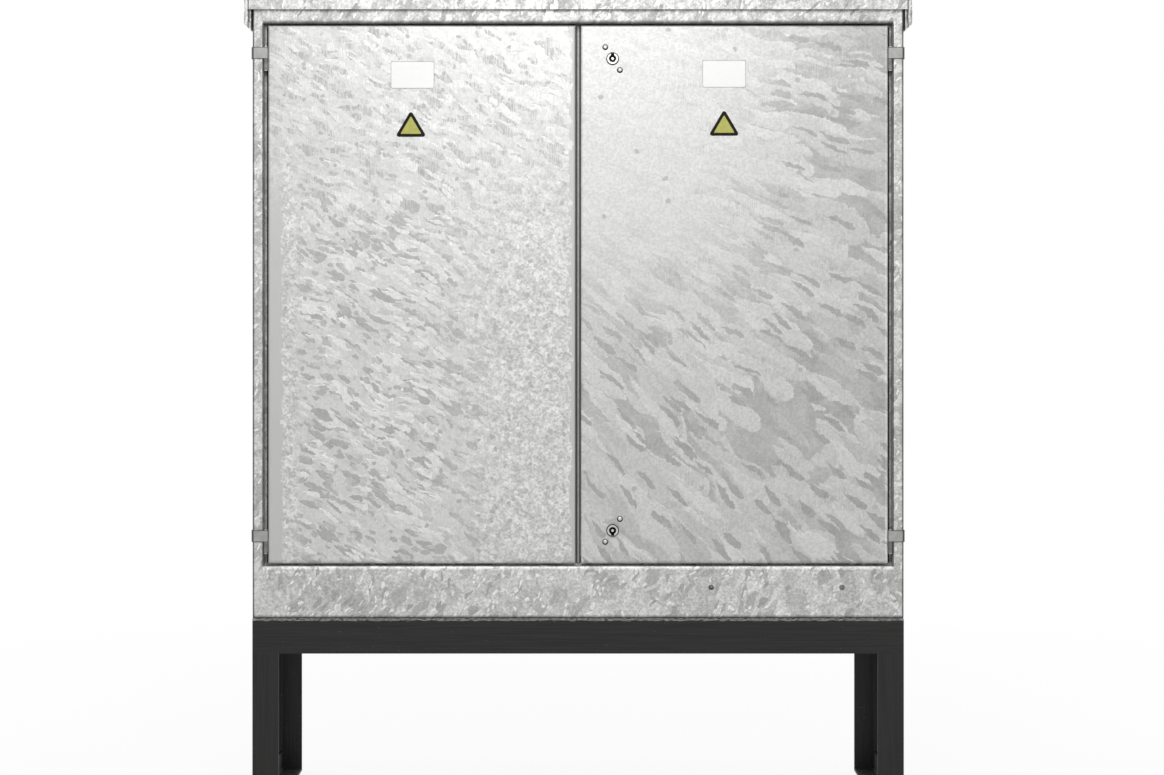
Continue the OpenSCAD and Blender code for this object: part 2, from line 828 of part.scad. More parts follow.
// A lock: ring, barrel with its recess and key slot, fixing plate and bolt guide
module lock_case(top) {
  plate_l = lock_screw_span + lock_plate_w;
  guide_d = bolt_y + bolt_t + slide_fit + guide_t - door_in_y;
  color(steel) at_lock(top) difference() {
    union() {
      translate([0, 0, -lock_ring_h]) cylinder(d = lock_ring_d, h = lock_ring_h);
      cylinder(d = lock_barrel_d, h = door_t + lock_plate_t);
      rotate(lock_lean) translate([0, 0, door_t]) linear_extrude(lock_plate_t) {
        square([lock_plate_w, lock_screw_span], center = true);
        for (s = [-1, 1]) translate([0, s * lock_screw_span / 2]) circle(d = lock_plate_w);
      }
      translate([-guide_w / 2, -guide_h, door_t]) cube([guide_w, 2 * guide_h, guide_d]);
    }
    // Round recess with the guide pin left standing
    translate([0, 0, -lock_ring_h - over]) difference() {
      union() {
        cylinder(d = lock_recess_d, h = lock_recess_h + over);
        translate([-key_pin_d / 2, 0, 0])
          cube([key_pin_d, (lock_ring_d - lock_flange) / 2, lock_recess_h + over]);
      }
      cylinder(d = key_pin_d, h = lock_recess_h + over);
    }
    // Way of the sliding bolt
    translate([-guide_w / 2 + guide_t, -guide_h - over, bolt_y - slide_fit + half_d])
      cube([guide_w - 2 * guide_t, 2 * (guide_h + over), bolt_t + 2 * slide_fit]);
    at_lock_screws() translate([0, 0, door_t - over])
      cylinder(d = lock_screw_d, h = lock_plate_t + 2 * over);
  }
}

module lock_screws() {
  color(steel) at_locks() at_lock_screws() {
    mirror([0, 0, 1]) button_head(lock_screw_head_d, lock_screw_head_h);
    cylinder(d = lock_screw_d, h = door_t + lock_plate_t);
  }
}

module lock_bolt() {
  color(steel) bolt_bar(door_z1 - lock_bolt_l, door_z1 - slide_fit);
}

// Hinges

// Height of a hinge strap's lower edge
function strap_z(top) = (top ? hinge_top_z : hinge_foot_z) - strap_h / 2;

module hinge_bore(z, h) {
  translate([hinge_x, hinge_y, z - over]) cylinder(d = pin_d + 2 * pin_fit, h = h + 2 * over);
}

// A strap round the right-hand corner of the body, ending in a knuckle
module right_strap(top) {
  r_in = fold_r;
  r_out = fold_r + strap_t;
  corner = [half_w - fold_r, -half_d + fold_r];
  color(strap_grey) difference() {
    translate([0, 0, strap_z(top)]) linear_extrude(strap_h) {
      translate(corner) rotate(-90) fold_section(r_in, r_out);
      translate([half_w, corner[1]]) square([strap_t, strap_leg]);
      translate([hinge_x, -half_d - strap_t]) square([corner[0] - hinge_x, strap_t]);
      translate([hinge_x, hinge_y]) circle(d = knuckle_d);
    }
    hinge_bore(strap_z(top), strap_h);
  }
}

// The right door's half of a hinge: a knuckle under the strap and a plate on the door's edge
module right_leaf(top) {
  z = strap_z(top) - end_gap - leaf_h;
  color(strap_grey) difference() {
    translate([0, 0, z]) linear_extrude(leaf_h) {
      translate([hinge_x, hinge_y]) circle(d = knuckle_d);
      translate([door_x1, -half_d + door_r]) square([strap_t, leaf_plate_l]);
      translate([door_x1, hinge_y]) square([hinge_x - door_x1, knuckle_d / 2]);
    }
    hinge_bore(z, leaf_h);
  }
}

module hinge_pins() {
  l = strap_h + leaf_h + 2 * end_gap;
  color(steel) both_sides() for (top = [true, false])
    translate([hinge_x, hinge_y, strap_z(top) - leaf_h - 2 * end_gap]) {
      cylinder(d = pin_d, h = l);
      translate([0, 0, -pin_head_h]) cylinder(d = pin_head_d, h = pin_head_h);
      translate([0, 0, l]) cylinder(d = pin_head_d, h = pin_head_h);
    }
}

// Backboard

function rail_z(i) = board_z0 + rail_z_shares[i] * board_h;

module board_rail(i) {
  color(zinc) difference() {
    translate([0, inner_y, rail_z(i)]) mirror([0, 1, 0])
      along_x(rail_l) hat_section(rail_top, rail_foot, rail_d, rail_t);
    at_board_bolts() cylinder(d = board_bolt_d, h = board_t + rail_d / 2);
  }
}

module at_board_bolts() {
  for (sx = [-1, 0, 1], i = [0, 1])
    translate([sx * board_bolt_x_share * board_w, board_y, rail_z(i)]) rotate([-90, 0, 0]) children();
}

module backboard() {
  color(ply) difference() {
    translate([-board_w / 2, board_y, board_z0]) cube([board_w, board_t, board_h]);
    at_board_bolts() translate([0, 0, -over]) cylinder(d = board_bolt_d, h = board_t + 2 * over);
  }
}

module board_bolts() {
  color(steel) at_board_bolts() {
    mirror([0, 0, 1]) button_head(2 * board_bolt_d, board_bolt_d / 2);
    cylinder(d = board_bolt_d, h = board_t + rail_t + board_bolt_d);
  }
}

// Main switch

module switch_base() {
  color(dark) translate([switch_x - switch_w / 2, board_y, switch_z - switch_h / 2])
    along_y(-switch_base_d, switch_base_d) round_square(switch_w, switch_h, equip_r);
}

module switch_cover() {
  y0 = board_y - switch_base_d - switch_cover_d;
  color(pale_grey) translate([switch_x, y0, switch_z]) difference() {
    moulded_box(switch_w, switch_h, switch_cover_d, equip_r);
    translate([0, cover_t, 0])
      moulded_box(switch_w - 2 * cover_t, switch_h - 2 * cover_t, switch_cover_d, equip_r - cover_t);
    translate([0, -over, 0]) rotate([-90, 0, 0])
      cylinder(d = shaft_d + 2 * pin_fit, h = cover_t + 2 * over);
  }
}

module switch_handle() {
  y0 = board_y - switch_base_d - switch_cover_d;
  color(red) translate([switch_x, y0 - slide_fit, switch_z]) {
    rotate([-90, 0, 0]) cylinder(d = shaft_d, h = switch_cover_d);
    rotate([90, 0, 0]) cylinder(d = knob_d, h = knob_h);
    translate([0, -knob_h - grip_h, 0]) moulded_box(grip_w, knob_d, grip_h, grip_w / 4);
  }
}

// Fuse ways

function fuse_way_x(i) = fuse_x + (i - (fuse_n - 1) / 2) * fuse_w;

module fuse_base() {
  w = fuse_n * fuse_w;
  pocket_w = fuse_w - 2 * (fuse_wall - slide_fit);
  pocket_h = fuse_h * carrier_h_share + 2 * slide_fit;
  color(dark) difference() {
    translate([fuse_x, board_y - fuse_base_d, fuse_z]) moulded_box(w, fuse_h, fuse_base_d, equip_r / 4);
    for (i = [0 : fuse_n - 1])
      translate([fuse_way_x(i) - pocket_w / 2, board_y - fuse_base_d - over, fuse_z - pocket_h / 2])
        cube([pocket_w, fuse_base_d - fuse_wall + over, pocket_h]);
  }
}

module fuse_carrier(i) {
  w = fuse_w - 2 * fuse_wall;
  h = fuse_h * carrier_h_share;
  grip_w = w * carrier_grip_w_share;
  grip_h = h * carrier_grip_h_share;
  y1 = board_y - fuse_wall - slide_fit;
  color(pale_grey) translate([fuse_way_x(i), 0, fuse_z]) {
    translate([-w / 2, y1 - fuse_base_d + fuse_wall, -h / 2]) cube([w, fuse_base_d - fuse_wall, h]);
    translate([0, y1 - fuse_base_d - fuse_gap, 0]) moulded_box(w, h, fuse_base_d / 2, equip_r / 2);
    translate([0, y1 - fuse_base_d - carrier_grip_d, 0])
      moulded_box(grip_w, grip_h, carrier_grip_d, equip_r / 2);
  }
}

// Neutral and earth bars

module at_neutral_ends() {
  for (sx = [-1, 1])
    translate([fuse_x + sx * (neutral_l - standoff_d) / 2, board_y, neutral_z])
      rotate([90, 0, 0]) children();
}

module neutral_standoffs() {
  color(red) at_neutral_ends() cylinder(d = standoff_d, h = standoff_h);
}

module neutral_bar() {
  pitch = (neutral_l - 2 * standoff_d) / terminal_n;
  color(brass) difference() {
    translate([fuse_x - neutral_l / 2, board_y - standoff_h - neutral_t, neutral_z - neutral_w / 2])
      cube([neutral_l, neutral_t, neutral_w]);
    for (i = [0 : terminal_n - 1])
      translate([fuse_x + (i - (terminal_n - 1) / 2) * pitch, board_y - standoff_h + over, neutral_z])
        rotate([90, 0, 0]) cylinder(d = terminal_d, h = neutral_t + 2 * over);
  }
}

// Places of the earth bar's bolts on the plinth's face, with Z into the cabinet
module at_earth_bolts() {
  for (s = [-1, 1])
    translate([earth_x + s * earth_span / 2, -half_d, earth_z]) rotate([-90, 0, 0]) children();
}

module earth_bar_spacers() {
  color(brass) at_earth_bolts() translate([0, 0, sheet]) difference() {
    cylinder(d = spacer_d, h = earth_gap);
    translate([0, 0, -over]) cylinder(d = earth_bolt_d, h = earth_gap + 2 * over);
  }
}

module earth_bar() {
  l = earth_span + 2 * earth_end;
  pitch = (earth_span - 2 * earth_end) / terminal_n;
  color(copper) difference() {
    translate([earth_x - l / 2, -half_d + sheet + earth_gap, earth_z - earth_bar_w / 2])
      cube([l, earth_bar_t, earth_bar_w]);
    at_earth_bolts() cylinder(d = earth_bolt_d, h = 2 * corner_d);
    for (i = [0 : terminal_n - 1])
      translate([earth_x + (i - (terminal_n - 1) / 2) * pitch, -half_d, earth_z]) rotate([-90, 0, 0])
        cylinder(d = terminal_d, h = 2 * corner_d);
  }
}

module earth_bar_bolts() {
  color(steel) at_earth_bolts() {
    mirror([0, 0, 1]) button_head(earth_head_d, earth_head_h);
    cylinder(d = earth_bolt_d, h = sheet + earth_gap + earth_bar_t);
  }
}

leg(-1, -1);  // front_left_leg
leg(1, -1);  // front_right_leg
leg(-1, 1);  // rear_left_leg
leg(1, 1);  // rear_right_leg
long_beam(-1);  // front_beam
long_beam(1);  // rear_beam
short_beam(-1);  // left_beam
short_beam(1);  // right_beam
runner(-1);  // left_runner
runner(1);  // right_runner
root_bolts();
root_nuts();
front_frame();
side_panel(-1);  // left_side_panel
side_panel(1);  // right_side_panel
back_panel();
roof_lid();
roof_nuts();
door_seal();
mirror([1, 0, 0]) right_strap(true);  // top_left_hinge_strap
mirror([1, 0, 0]) right_strap(false);  // bottom_left_hinge_strap
right_strap(true);  // top_right_hinge_strap
right_strap(false);  // bottom_right_hinge_strap
hinge_pins();
mirror([1, 0, 0]) right_leaf(true);  // top_left_hinge_leaf
mirror([1, 0, 0]) right_leaf(false);  // bottom_left_hinge_leaf
right_leaf(true);  // top_right_hinge_leaf
right_leaf(false);  // bottom_right_hinge_leaf
left_door_pan();
stiffener(-1);  // left_stiffener
meeting_strip();
shoot_bolt_guides();
shoot_bolt();  // top_shoot_bolt
at_foot() shoot_bolt();  // bottom_shoot_bolt
right_door_pan();
stiffener(1);  // right_stiffener
lock_case(true);  // top_lock_case
lock_case(false);  // bottom_lock_case
lock_screws();
lock_bolt();  // top_lock_bolt
at_foot() lock_bolt();  // bottom_lock_bolt
board_rail(1);  // upper_board_rail
board_rail(0);  // lower_board_rail
backboard();
board_bolts();
switch_base();
switch_cover();
switch_handle();
fuse_base();
fuse_carrier(0);  // fuse_carrier_1
fuse_carrier(1);  // fuse_carrier_2
fuse_carrier(2);  // fuse_carrier_3
neutral_standoffs();
neutral_bar();
earth_bar_spacers();
earth_bar();
earth_bar_bolts();
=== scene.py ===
"""Roadside utility cabinet: finishes, blank plates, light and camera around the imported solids."""

import json
import math

import bmesh
import bpy
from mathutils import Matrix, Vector


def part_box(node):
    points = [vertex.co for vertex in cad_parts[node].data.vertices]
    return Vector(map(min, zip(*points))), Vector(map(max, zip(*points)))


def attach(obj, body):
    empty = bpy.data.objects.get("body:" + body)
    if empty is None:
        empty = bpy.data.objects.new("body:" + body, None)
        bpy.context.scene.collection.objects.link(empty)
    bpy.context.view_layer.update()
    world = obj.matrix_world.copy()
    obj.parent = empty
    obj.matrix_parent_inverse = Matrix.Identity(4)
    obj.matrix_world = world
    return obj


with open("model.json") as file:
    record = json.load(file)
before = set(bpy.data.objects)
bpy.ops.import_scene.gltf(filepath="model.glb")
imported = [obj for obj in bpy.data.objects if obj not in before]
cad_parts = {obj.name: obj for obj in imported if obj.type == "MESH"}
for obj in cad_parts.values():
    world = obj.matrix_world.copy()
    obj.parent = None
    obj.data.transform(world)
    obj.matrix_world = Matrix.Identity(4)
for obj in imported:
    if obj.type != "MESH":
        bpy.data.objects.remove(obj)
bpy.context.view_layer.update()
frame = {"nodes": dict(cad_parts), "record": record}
nodes = frame["nodes"]

# Camera: the picture's size and the pixel that its level axis passes through
PICTURE_W = 1164
PICTURE_H = 775
AXIS_PX = 578.1
AXIS_PY = 325.2
METRES_PER_PIXEL = 0.001842
EYE = Vector((0.0, -4.87, 0.89))
SENSOR_MM = 36.0

# Light: an even fill, and soft lamps before, behind and above the cabinet: place, aim, size and watts
WHITE = (1.0, 1.0, 1.0, 1.0)
FILL_LEVEL = 0.315
LAMPS = {
    "key": (Vector((-0.05, -1.9, 2.1)), Vector((-0.05, -0.2, 1.2)), 1.1, 23.0),
    "left_rear": (Vector((-2.4, 1.5, 1.9)), Vector((0.0, 0.2, 0.6)), 1.6, 30.0),
    "right_rear": (Vector((2.4, 1.5, 1.9)), Vector((0.0, 0.2, 0.6)), 1.6, 30.0),
    "top": (Vector((0.0, 0.4, 3.1)), Vector((0.0, 0.1, 1.5)), 1.6, 8.0),
}

# Floor: its tone, and the share of plain white seen in it, from near the cabinet to far off
FLOOR_SIZE = 40.0
FLOOR_TONE = 0.9
FLOOR_NEAR = 0.9
FLOOR_NEAR_R = 1.0
FLOOR_FAR_R = 3.0

# Doors and frame, from the solids
DOOR_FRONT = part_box("left_door_pan")[0].y
LEFT_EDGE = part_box("left_door_pan")[0].x
RIGHT_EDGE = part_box("left_door_pan")[1].x
DOOR_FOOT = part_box("left_door_pan")[0].z
ROOT_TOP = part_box("front_beam")[1].z
BEAM_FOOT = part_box("front_beam")[0].z
HALF_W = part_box("front_frame")[1].x
ROOF_HALF_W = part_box("roof_lid")[1].x
SKIRT_RETURN = 0.008

# Door opening: the seal's outer edge lies inside it
SEAL_INSET = 0.004
OPEN_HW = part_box("door_seal")[1].x + SEAL_INSET
OPEN_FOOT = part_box("door_seal")[0].z - SEAL_INSET
OPEN_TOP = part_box("door_seal")[1].z + SEAL_INSET

# Noise: it lies mostly between low and high, about its middle
NOISE_LOW = 0.3
NOISE_HIGH = 0.7
NOISE_MIDDLE = (0.5, 0.5, 0.5)
NOISE_DETAIL = 2.0
PUSH_DETAIL = 1.0
STAIN_DETAIL = 4.0
GRAIN_DETAIL = 5.0

# How far a point moves across and up the front plane for each metre of depth
SLANT = (0.8, 0.6)


class Finish:
    """One material's node tree: each call adds nodes and returns an output.

    place is in the part's frame, and flat is that place drawn slantwise onto the front plane.
    """

    def __init__(self, name):
        self.material = bpy.data.materials.new(name)
        self.material.use_nodes = True
        self.tree = self.material.node_tree
        self.shader = self.tree.nodes["Principled BSDF"]
        self.place = self.add("ShaderNodeTexCoord").outputs["Object"]
        x, y, z = self.axes(self.place)
        across = self.add_up(x, self.times(y, SLANT[0]))
        self.flat = self.join(across, self.add_up(z, self.times(y, SLANT[1])), 0.0)

    def add(self, kind, **settings):
        node = self.tree.nodes.new(kind)
        for key, value in settings.items():
            setattr(node, key, value)
        return node

    def feed(self, socket, value):
        """Links an output to a socket, or writes a constant on it."""
        if isinstance(value, bpy.types.NodeSocket):
            self.tree.links.new(value, socket)
        else:
            socket.default_value = value

    def feed_all(self, node, values):
        """Feeds a node's sockets in their order."""
        for socket, value in zip(node.inputs, values):
            self.feed(socket, value)
        return node

    def put(self, **values):
        """Sets sockets of the surface shader by name, with _ for a space."""
        for key, value in values.items():
            self.feed(self.shader.inputs[key.replace("_", " ")], value)

    def math(self, operation, *values):
        return self.feed_all(self.add("ShaderNodeMath", operation=operation), values).outputs[0]

    def times(self, first, second):
        return self.math("MULTIPLY", first, second)

    def less(self, first, second):
        return self.math("SUBTRACT", first, second)

    def add_up(self, first, *others):
        for other in others:
            first = self.math("ADD", first, other)
        return first

    def vector_node(self, operation, *values):
        return self.feed_all(self.add("ShaderNodeVectorMath", operation=operation), values)

    def vector(self, operation, *values):
        return self.vector_node(operation, *values).outputs["Vector"]

    def vector_length(self, vector):
        return self.vector_node("LENGTH", vector).outputs["Value"]

    def axes(self, vector):
        return self.feed_all(self.add("ShaderNodeSeparateXYZ"), [vector]).outputs

    def join(self, x, y, z):
        return self.feed_all(self.add("ShaderNodeCombineXYZ"), (x, y, z)).outputs[0]

    def scaled(self, place, size):
        sizes = size if isinstance(size, tuple) else (size, size, size)
        return self.vector("DIVIDE", place, sizes)

    def noise_node(self, place, size, detail, dimensions):
        node = self.add("ShaderNodeTexNoise", noise_dimensions=dimensions)
        self.feed(node.inputs["Vector"], self.scaled(place, size))
        node.inputs["Scale"].default_value = 1.0
        node.inputs["Detail"].default_value = detail
        return node

    def noise(self, place, size, detail=NOISE_DETAIL):
        """Soft noise with blobs of that size in metres, one number or one for each axis."""
        return self.noise_node(place, size, detail, "3D").outputs["Fac"]

    def ragged(self, *pushes):
        """The flat place, pushed about by noise of each size by each amount."""
        place = self.flat
        for size, amount in pushes:
            colour = self.noise_node(place, size, PUSH_DETAIL, "2D").outputs["Color"]
            push = self.vector("SUBTRACT", colour, NOISE_MIDDLE)
            place = self.vector("ADD", place, self.vector("MULTIPLY", push, (amount, amount, amount)))
        return place

    def cells(self, place):
        """Of points scattered a unit apart in a plane, the nearest one's distance, chance and place."""
        node = self.add("ShaderNodeTexVoronoi", voronoi_dimensions="2D")
        self.feed(node.inputs["Vector"], place)
        node.inputs["Scale"].default_value = 1.0
        chance = self.axes(node.outputs["Color"])[0]
        return node.outputs["Distance"], chance, node.outputs["Position"]

    def ease(self, value, low, high, start=0.0, end=1.0):
        """start at low, end at high, smooth between them."""
        node = self.add("ShaderNodeMapRange", interpolation_type="SMOOTHSTEP")
        return self.feed_all(node, (value, low, high, start, end)).outputs[0]

    def spread(self, noise, start, end):
        """start where the noise is low, end where it is high."""
        return self.ease(noise, NOISE_LOW, NOISE_HIGH, start, end)

    def mix(self, share, first, second, kind="Float"):
        """first and second mixed: numbers, or colours where kind says so."""
        node = self.add("ShaderNodeMix", data_type="RGBA" if kind == "Color" else "FLOAT")
        sockets = {socket.identifier: socket for socket in (*node.inputs, *node.outputs)}
        self.feed(sockets["Factor_Float"], share)
        self.feed(sockets["A_" + kind], first)
        self.feed(sockets["B_" + kind], second)
        return sockets["Result_" + kind]

    def tinted(self, tone, tint):
        """A colour: tint times tone."""
        node = self.add("ShaderNodeVectorMath", operation="SCALE")
        node.inputs[0].default_value = tint
        self.feed(node.inputs["Scale"], tone)
        return node.outputs["Vector"]

    def relief(self, height, depth):
        """Makes the surface look uneven by that height times depth."""
        node = self.add("ShaderNodeBump")
        node.inputs["Distance"].default_value = depth
        self.feed(node.inputs["Height"], height)
        self.put(Normal=node.outputs["Normal"])


def along(finish, place, degrees):
    """Coordinates along and across a lean in the front plane, in metres."""
    turn = math.radians(degrees)
    across, up, _ = finish.axes(place)
    run = finish.add_up(finish.times(across, math.cos(turn)), finish.times(up, math.sin(turn)))
    side = finish.add_up(finish.times(up, math.cos(turn)), finish.times(across, -math.sin(turn)))
    return finish.join(run, side, 0.0)


def fanned(finish, place, centre, radius):
    """Coordinates along and across rays that spread from a centre in the doors' face, in metres."""
    middle = (centre[0] + SLANT[0] * DOOR_FRONT, centre[1] + SLANT[1] * DOOR_FRONT, 0.0)
    across, up, _ = finish.axes(finish.vector("SUBTRACT", place, middle))
    run = finish.math("SQRT", finish.add_up(finish.times(across, across), finish.times(up, up)))
    side = finish.times(finish.math("ARCTAN2", up, across), radius)
    return finish.join(run, side, 0.0)


def wandering(finish, value, size, amount):
    """The value plus noise of that size, up to that amount."""
    return finish.add_up(value, finish.times(finish.noise(finish.place, size), amount))


LINE_SOFTNESS = 0.0008


def within(finish, value, low, high):
    """1 between low and high."""
    rise = finish.ease(value, low - LINE_SOFTNESS, low)
    return finish.times(rise, finish.ease(value, high + LINE_SOFTNESS, high))


def shaded(finish, tone, mask, factor):
    """The tone times a factor where the mask is 1."""
    return finish.times(tone, finish.mix(mask, 1.0, factor))


# Flakes of zinc, in units of their own size: the point's distance from the middle, width, edge and rim
FLAKE_BACK = 0.5
FLAKE_WIDTH = 0.8
FLAKE_EDGE = 0.02
FLAKE_RIM = 0.08

# Layers of flakes: how far each is shifted along from the last, and how many times that across
LAYER_SHIFT = 3.0
FLAKE_STEP = 1.7

# Chances: the softness of the limit under which flakes are kept, and where their high tone is reached
COVER_EDGE = 0.01
TONE_SPREAD = 0.6


def flakes(finish, flow, size, shift):
    """Scattered flakes, pointed at one end and round at the other.

    Gives 1 inside them, each flake's own chance, and its rim: 1 along one side and -1 along the other,
    where painted highlight and painted shade go.
    """
    place = finish.vector("ADD", finish.scaled(flow, (*size, 1.0)), (shift, shift * FLAKE_STEP, 0.0))
    _, chance, middle = finish.cells(place)
    run, side, _ = finish.axes(finish.vector("SUBTRACT", place, middle))
    run = finish.math("MAXIMUM", finish.add_up(run, FLAKE_BACK), 0.0)
    square = finish.times(run, run)
    width = finish.times(finish.times(square, finish.less(1.0, square)), FLAKE_WIDTH)
    inside = finish.less(width, finish.times(side, side))
    rim = finish.times(finish.ease(inside, FLAKE_RIM, 0.0), finish.math("SIGN", side))
    return finish.ease(inside, 0.0, FLAKE_EDGE), chance, rim


def layered(finish, flow, tone, layers, cover, rim_light):
    """Flakes laid over a tone in layers of (size, low tone, high tone).

    cover is the share of flakes kept, and the last argument how strong the painted highlight along one side
    of each flake's rim and the painted shade along the other are.
    """
    for number, (size, low, high) in enumerate(layers):
        inside, chance, rim = flakes(finish, flow, size, number * LAYER_SHIFT)
        kept = finish.ease(finish.less(cover, chance), 0.0, COVER_EDGE)
        shade = finish.ease(chance, 0.0, TONE_SPREAD, low, high)
        # The rims get a painted highlight along one side and painted shade along the other
        shade = finish.times(shade, finish.add_up(finish.times(rim, rim_light), 1.0))
        tone = finish.mix(finish.times(inside, kept), tone, shade)
    return tone


def speckle(finish, size, depth):
    """Fine light and dark grains about 1."""
    chance = finish.cells(finish.scaled(finish.flat, size))[1]
    return finish.ease(chance, 0.0, 1.0, 1.0 - depth, 1.0 + depth)


# Drawing lines, scratches and dots
STROKE_SIZE = (0.0016, 0.0016, 0.03)
HATCH_SIZE = (0.0022, 0.0022, 0.02)
HATCH_RANGE = (0.42, 0.58)
DOT_PUSH = (0.01, 0.006)
DOT_CORE = 0.7
DOT_SHARE_EDGE = 0.98
DOT_TONE = 0.5


def strokes(finish, depth):
    """Fine upright drawing lines about 1."""
    return finish.spread(finish.noise(finish.place, STROKE_SIZE), 1.0 - depth, 1.0 + depth)


def hatch(finish):
    """1 in fine upright scratches."""
    return finish.ease(finish.noise(finish.place, HATCH_SIZE), *HATCH_RANGE)


def dots(finish, spacing, radius, share):
    """1 in small scattered round dots."""
    distance, chance, _ = finish.cells(finish.scaled(finish.ragged(DOT_PUSH), spacing))
    dot = finish.ease(distance, radius / spacing, radius / spacing * DOT_CORE)
    return finish.times(dot, finish.ease(chance, share, share * DOT_SHARE_EDGE))


# Galvanised zinc: tones are linear shares of white
ZINC_TINT = (1.0, 1.0, 0.982)
ZINC_METAL = 0.18
ZINC_DARK = 0.44
ZINC_LIGHT = 0.70
ZINC_DARK_ROUGHNESS = 0.56
ZINC_LIGHT_ROUGHNESS = 0.42
ZINC_WAVE = 0.03
ZINC_WAVE_DEPTH = 0.0006


def zinc(finish, tone):
    """Dull zinc of that tone, duller where it is dark, over a slightly uneven sheet."""
    roughness = finish.ease(tone, ZINC_DARK, ZINC_LIGHT, ZINC_DARK_ROUGHNESS, ZINC_LIGHT_ROUGHNESS)
    finish.put(Base_Color=finish.tinted(tone, ZINC_TINT), Metallic=ZINC_METAL, Roughness=roughness)
    finish.relief(finish.noise(finish.place, ZINC_WAVE), ZINC_WAVE_DEPTH)
    return finish.material


# Both doors get painted shade along their lower edge
FOOT_Z = (DOOR_FOOT, DOOR_FOOT + 0.008)
FOOT_SHADE = 0.7


def door_zinc(finish, tone):
    """Zinc of that tone, with painted shade along the door's lower edge."""
    height = finish.axes(finish.place)[2]
    return zinc(finish, finish.times(tone, finish.ease(height, *FOOT_Z, FOOT_SHADE, 1.0)))


# Left door: its flakes, how they are pushed about and lean, how many are kept, and the painted light on
# their rims
LEFT_FLAKES = (
    ((0.13, 0.05), 0.66, 0.74),
    ((0.08, 0.03), 0.78, 0.70),
    ((0.055, 0.02), 0.84, 0.58),
    ((0.05, 0.016), 0.47, 0.53),
    ((0.03, 0.011), 0.46, 0.84),
    ((0.02, 0.009), 0.50, 0.87),
    ((0.042, 0.010), 0.85, 0.68),
)
LEFT_PUSHES = ((0.12, 0.035), (0.012, 0.008), (0.004, 0.003))
LEFT_LEAN = -28.0
LEFT_GROUND = 0.71
LEFT_COVER = 0.33
LEFT_RIM_LIGHT = 0.26

# Its upper part is evened out between fine scratches, from the first height on and most above the second
EVEN_Z = (0.95, 1.25)
EVEN_SHARE = 0.8
EVEN_TONE = 0.69

# Its grain is strong towards the meeting edge and beside the hinge edge: size and depth of each grain
GRAINY_X = (-0.30, -0.10)
GRAINY_Z = (1.35, 0.95)
GRAINY_RIM_X = (LEFT_EDGE + 0.07, LEFT_EDGE + 0.04)
GRAINY_RIM_Z = (1.3, 1.1)
GRAINY_SHARE = 0.75
GRAINY_TONE = 0.70
FINE_GRAIN = (0.0035, 0.17)
COARSE_GRAIN = (0.009, 0.12)
LEFT_GRAIN = (0.004, 0.06)
LEFT_DOTS = (0.032, 0.0045, 0.3)
LEFT_STROKES = 0.04

# Its plain band at the hinge edge and its scalloped meeting edge: how far each wanders
BAND_X = (LEFT_EDGE + 0.038, LEFT_EDGE + 0.034)
BAND_Z = (1.25, 1.05)
BAND_LEAST = 0.2
BAND_WANDER = (0.012, 0.02)
BAND_STROKES = 0.02
BAND_TONE = 0.60
SCALLOP_X = (RIGHT_EDGE + 0.005, RIGHT_EDGE + 0.006)
SCALLOP_WANDER = (0.02, 0.03)
SCALLOP_TONE = 0.58


def left_door_zinc():
    """Small leaning flakes, fine grain towards the meeting edge, a plain grey band at the hinge edge."""
    f = Finish("left_door_zinc")
    x, _, z = f.axes(f.place)
    flow = along(f, f.ragged(*LEFT_PUSHES), LEFT_LEAN)
    tone = layered(f, flow, LEFT_GROUND, LEFT_FLAKES, LEFT_COVER, LEFT_RIM_LIGHT)
    even = f.times(f.times(f.less(1.0, hatch(f)), EVEN_SHARE), f.ease(z, *EVEN_Z))
    tone = f.mix(even, tone, EVEN_TONE)
    inner = f.times(f.ease(x, *GRAINY_X), f.ease(z, *GRAINY_Z))
    rim = f.times(f.ease(x, *GRAINY_RIM_X), f.ease(z, *GRAINY_RIM_Z))
    grainy = f.math("MAXIMUM", inner, rim)
    tone = f.mix(f.times(grainy, GRAINY_SHARE), tone, GRAINY_TONE)
    grain = f.times(speckle(f, *FINE_GRAIN), speckle(f, *COARSE_GRAIN))
    tone = f.times(tone, f.mix(grainy, speckle(f, *LEFT_GRAIN), grain))
    tone = f.mix(dots(f, *LEFT_DOTS), tone, DOT_TONE)
    tone = f.times(tone, strokes(f, LEFT_STROKES))
    band = f.ease(wandering(f, x, *BAND_WANDER), *BAND_X)
    band = f.times(band, f.ease(z, *BAND_Z, BAND_LEAST, 1.0))
    tone = f.mix(band, tone, f.times(strokes(f, BAND_STROKES), BAND_TONE))
    scallop = f.ease(wandering(f, x, *SCALLOP_WANDER), *SCALLOP_X)
    return door_zinc(f, f.mix(scallop, tone, SCALLOP_TONE))


# Right door: its flakes, how they are pushed about, the painted light on their rims, and the centre that
# they fan out from
RIGHT_FLAKES = (
    ((0.22, 0.060), 0.60, 0.68),
    ((0.18, 0.046), 0.66, 0.58),
    ((0.14, 0.034), 0.70, 0.62),
    ((0.10, 0.022), 0.64, 0.72),
    ((0.27, 0.072), 0.61, 0.67),
    ((0.12, 0.024), 0.55, 0.71),
)
RIGHT_PUSHES = ((0.10, 0.03), (0.014, 0.008), (0.004, 0.0035))
RIGHT_RIM_LIGHT = 0.1
FAN_CENTRE = (-0.847, 1.677)
FAN_RADIUS = 1.4

# Its darker ground, and where more or fewer flakes are kept: the painted pool of light, the rim, the patch
# and the crest
GROUND_SIZE = 0.05
GROUND_RANGE = (0.35, 0.65)
GROUND_TONES = (0.47, 0.54)
LIT_POOL_X = (0.45, 0.15)
LIT_POOL_Z = (0.8, 1.15)
RIM_X = (0.46, 0.55)
RIM_Z = (0.8, 0.95)
PATCH_PLACE = (0.363, DOOR_FRONT, 0.706)
PATCH_R = (0.2, 0.06)
CREST_Z = (1.15, 1.35)
RIGHT_COVER = 0.6
LIT_POOL_COVER = 0.6
RIM_COVER = -0.42
PATCH_COVER = -0.5
CREST_COVER = 0.1
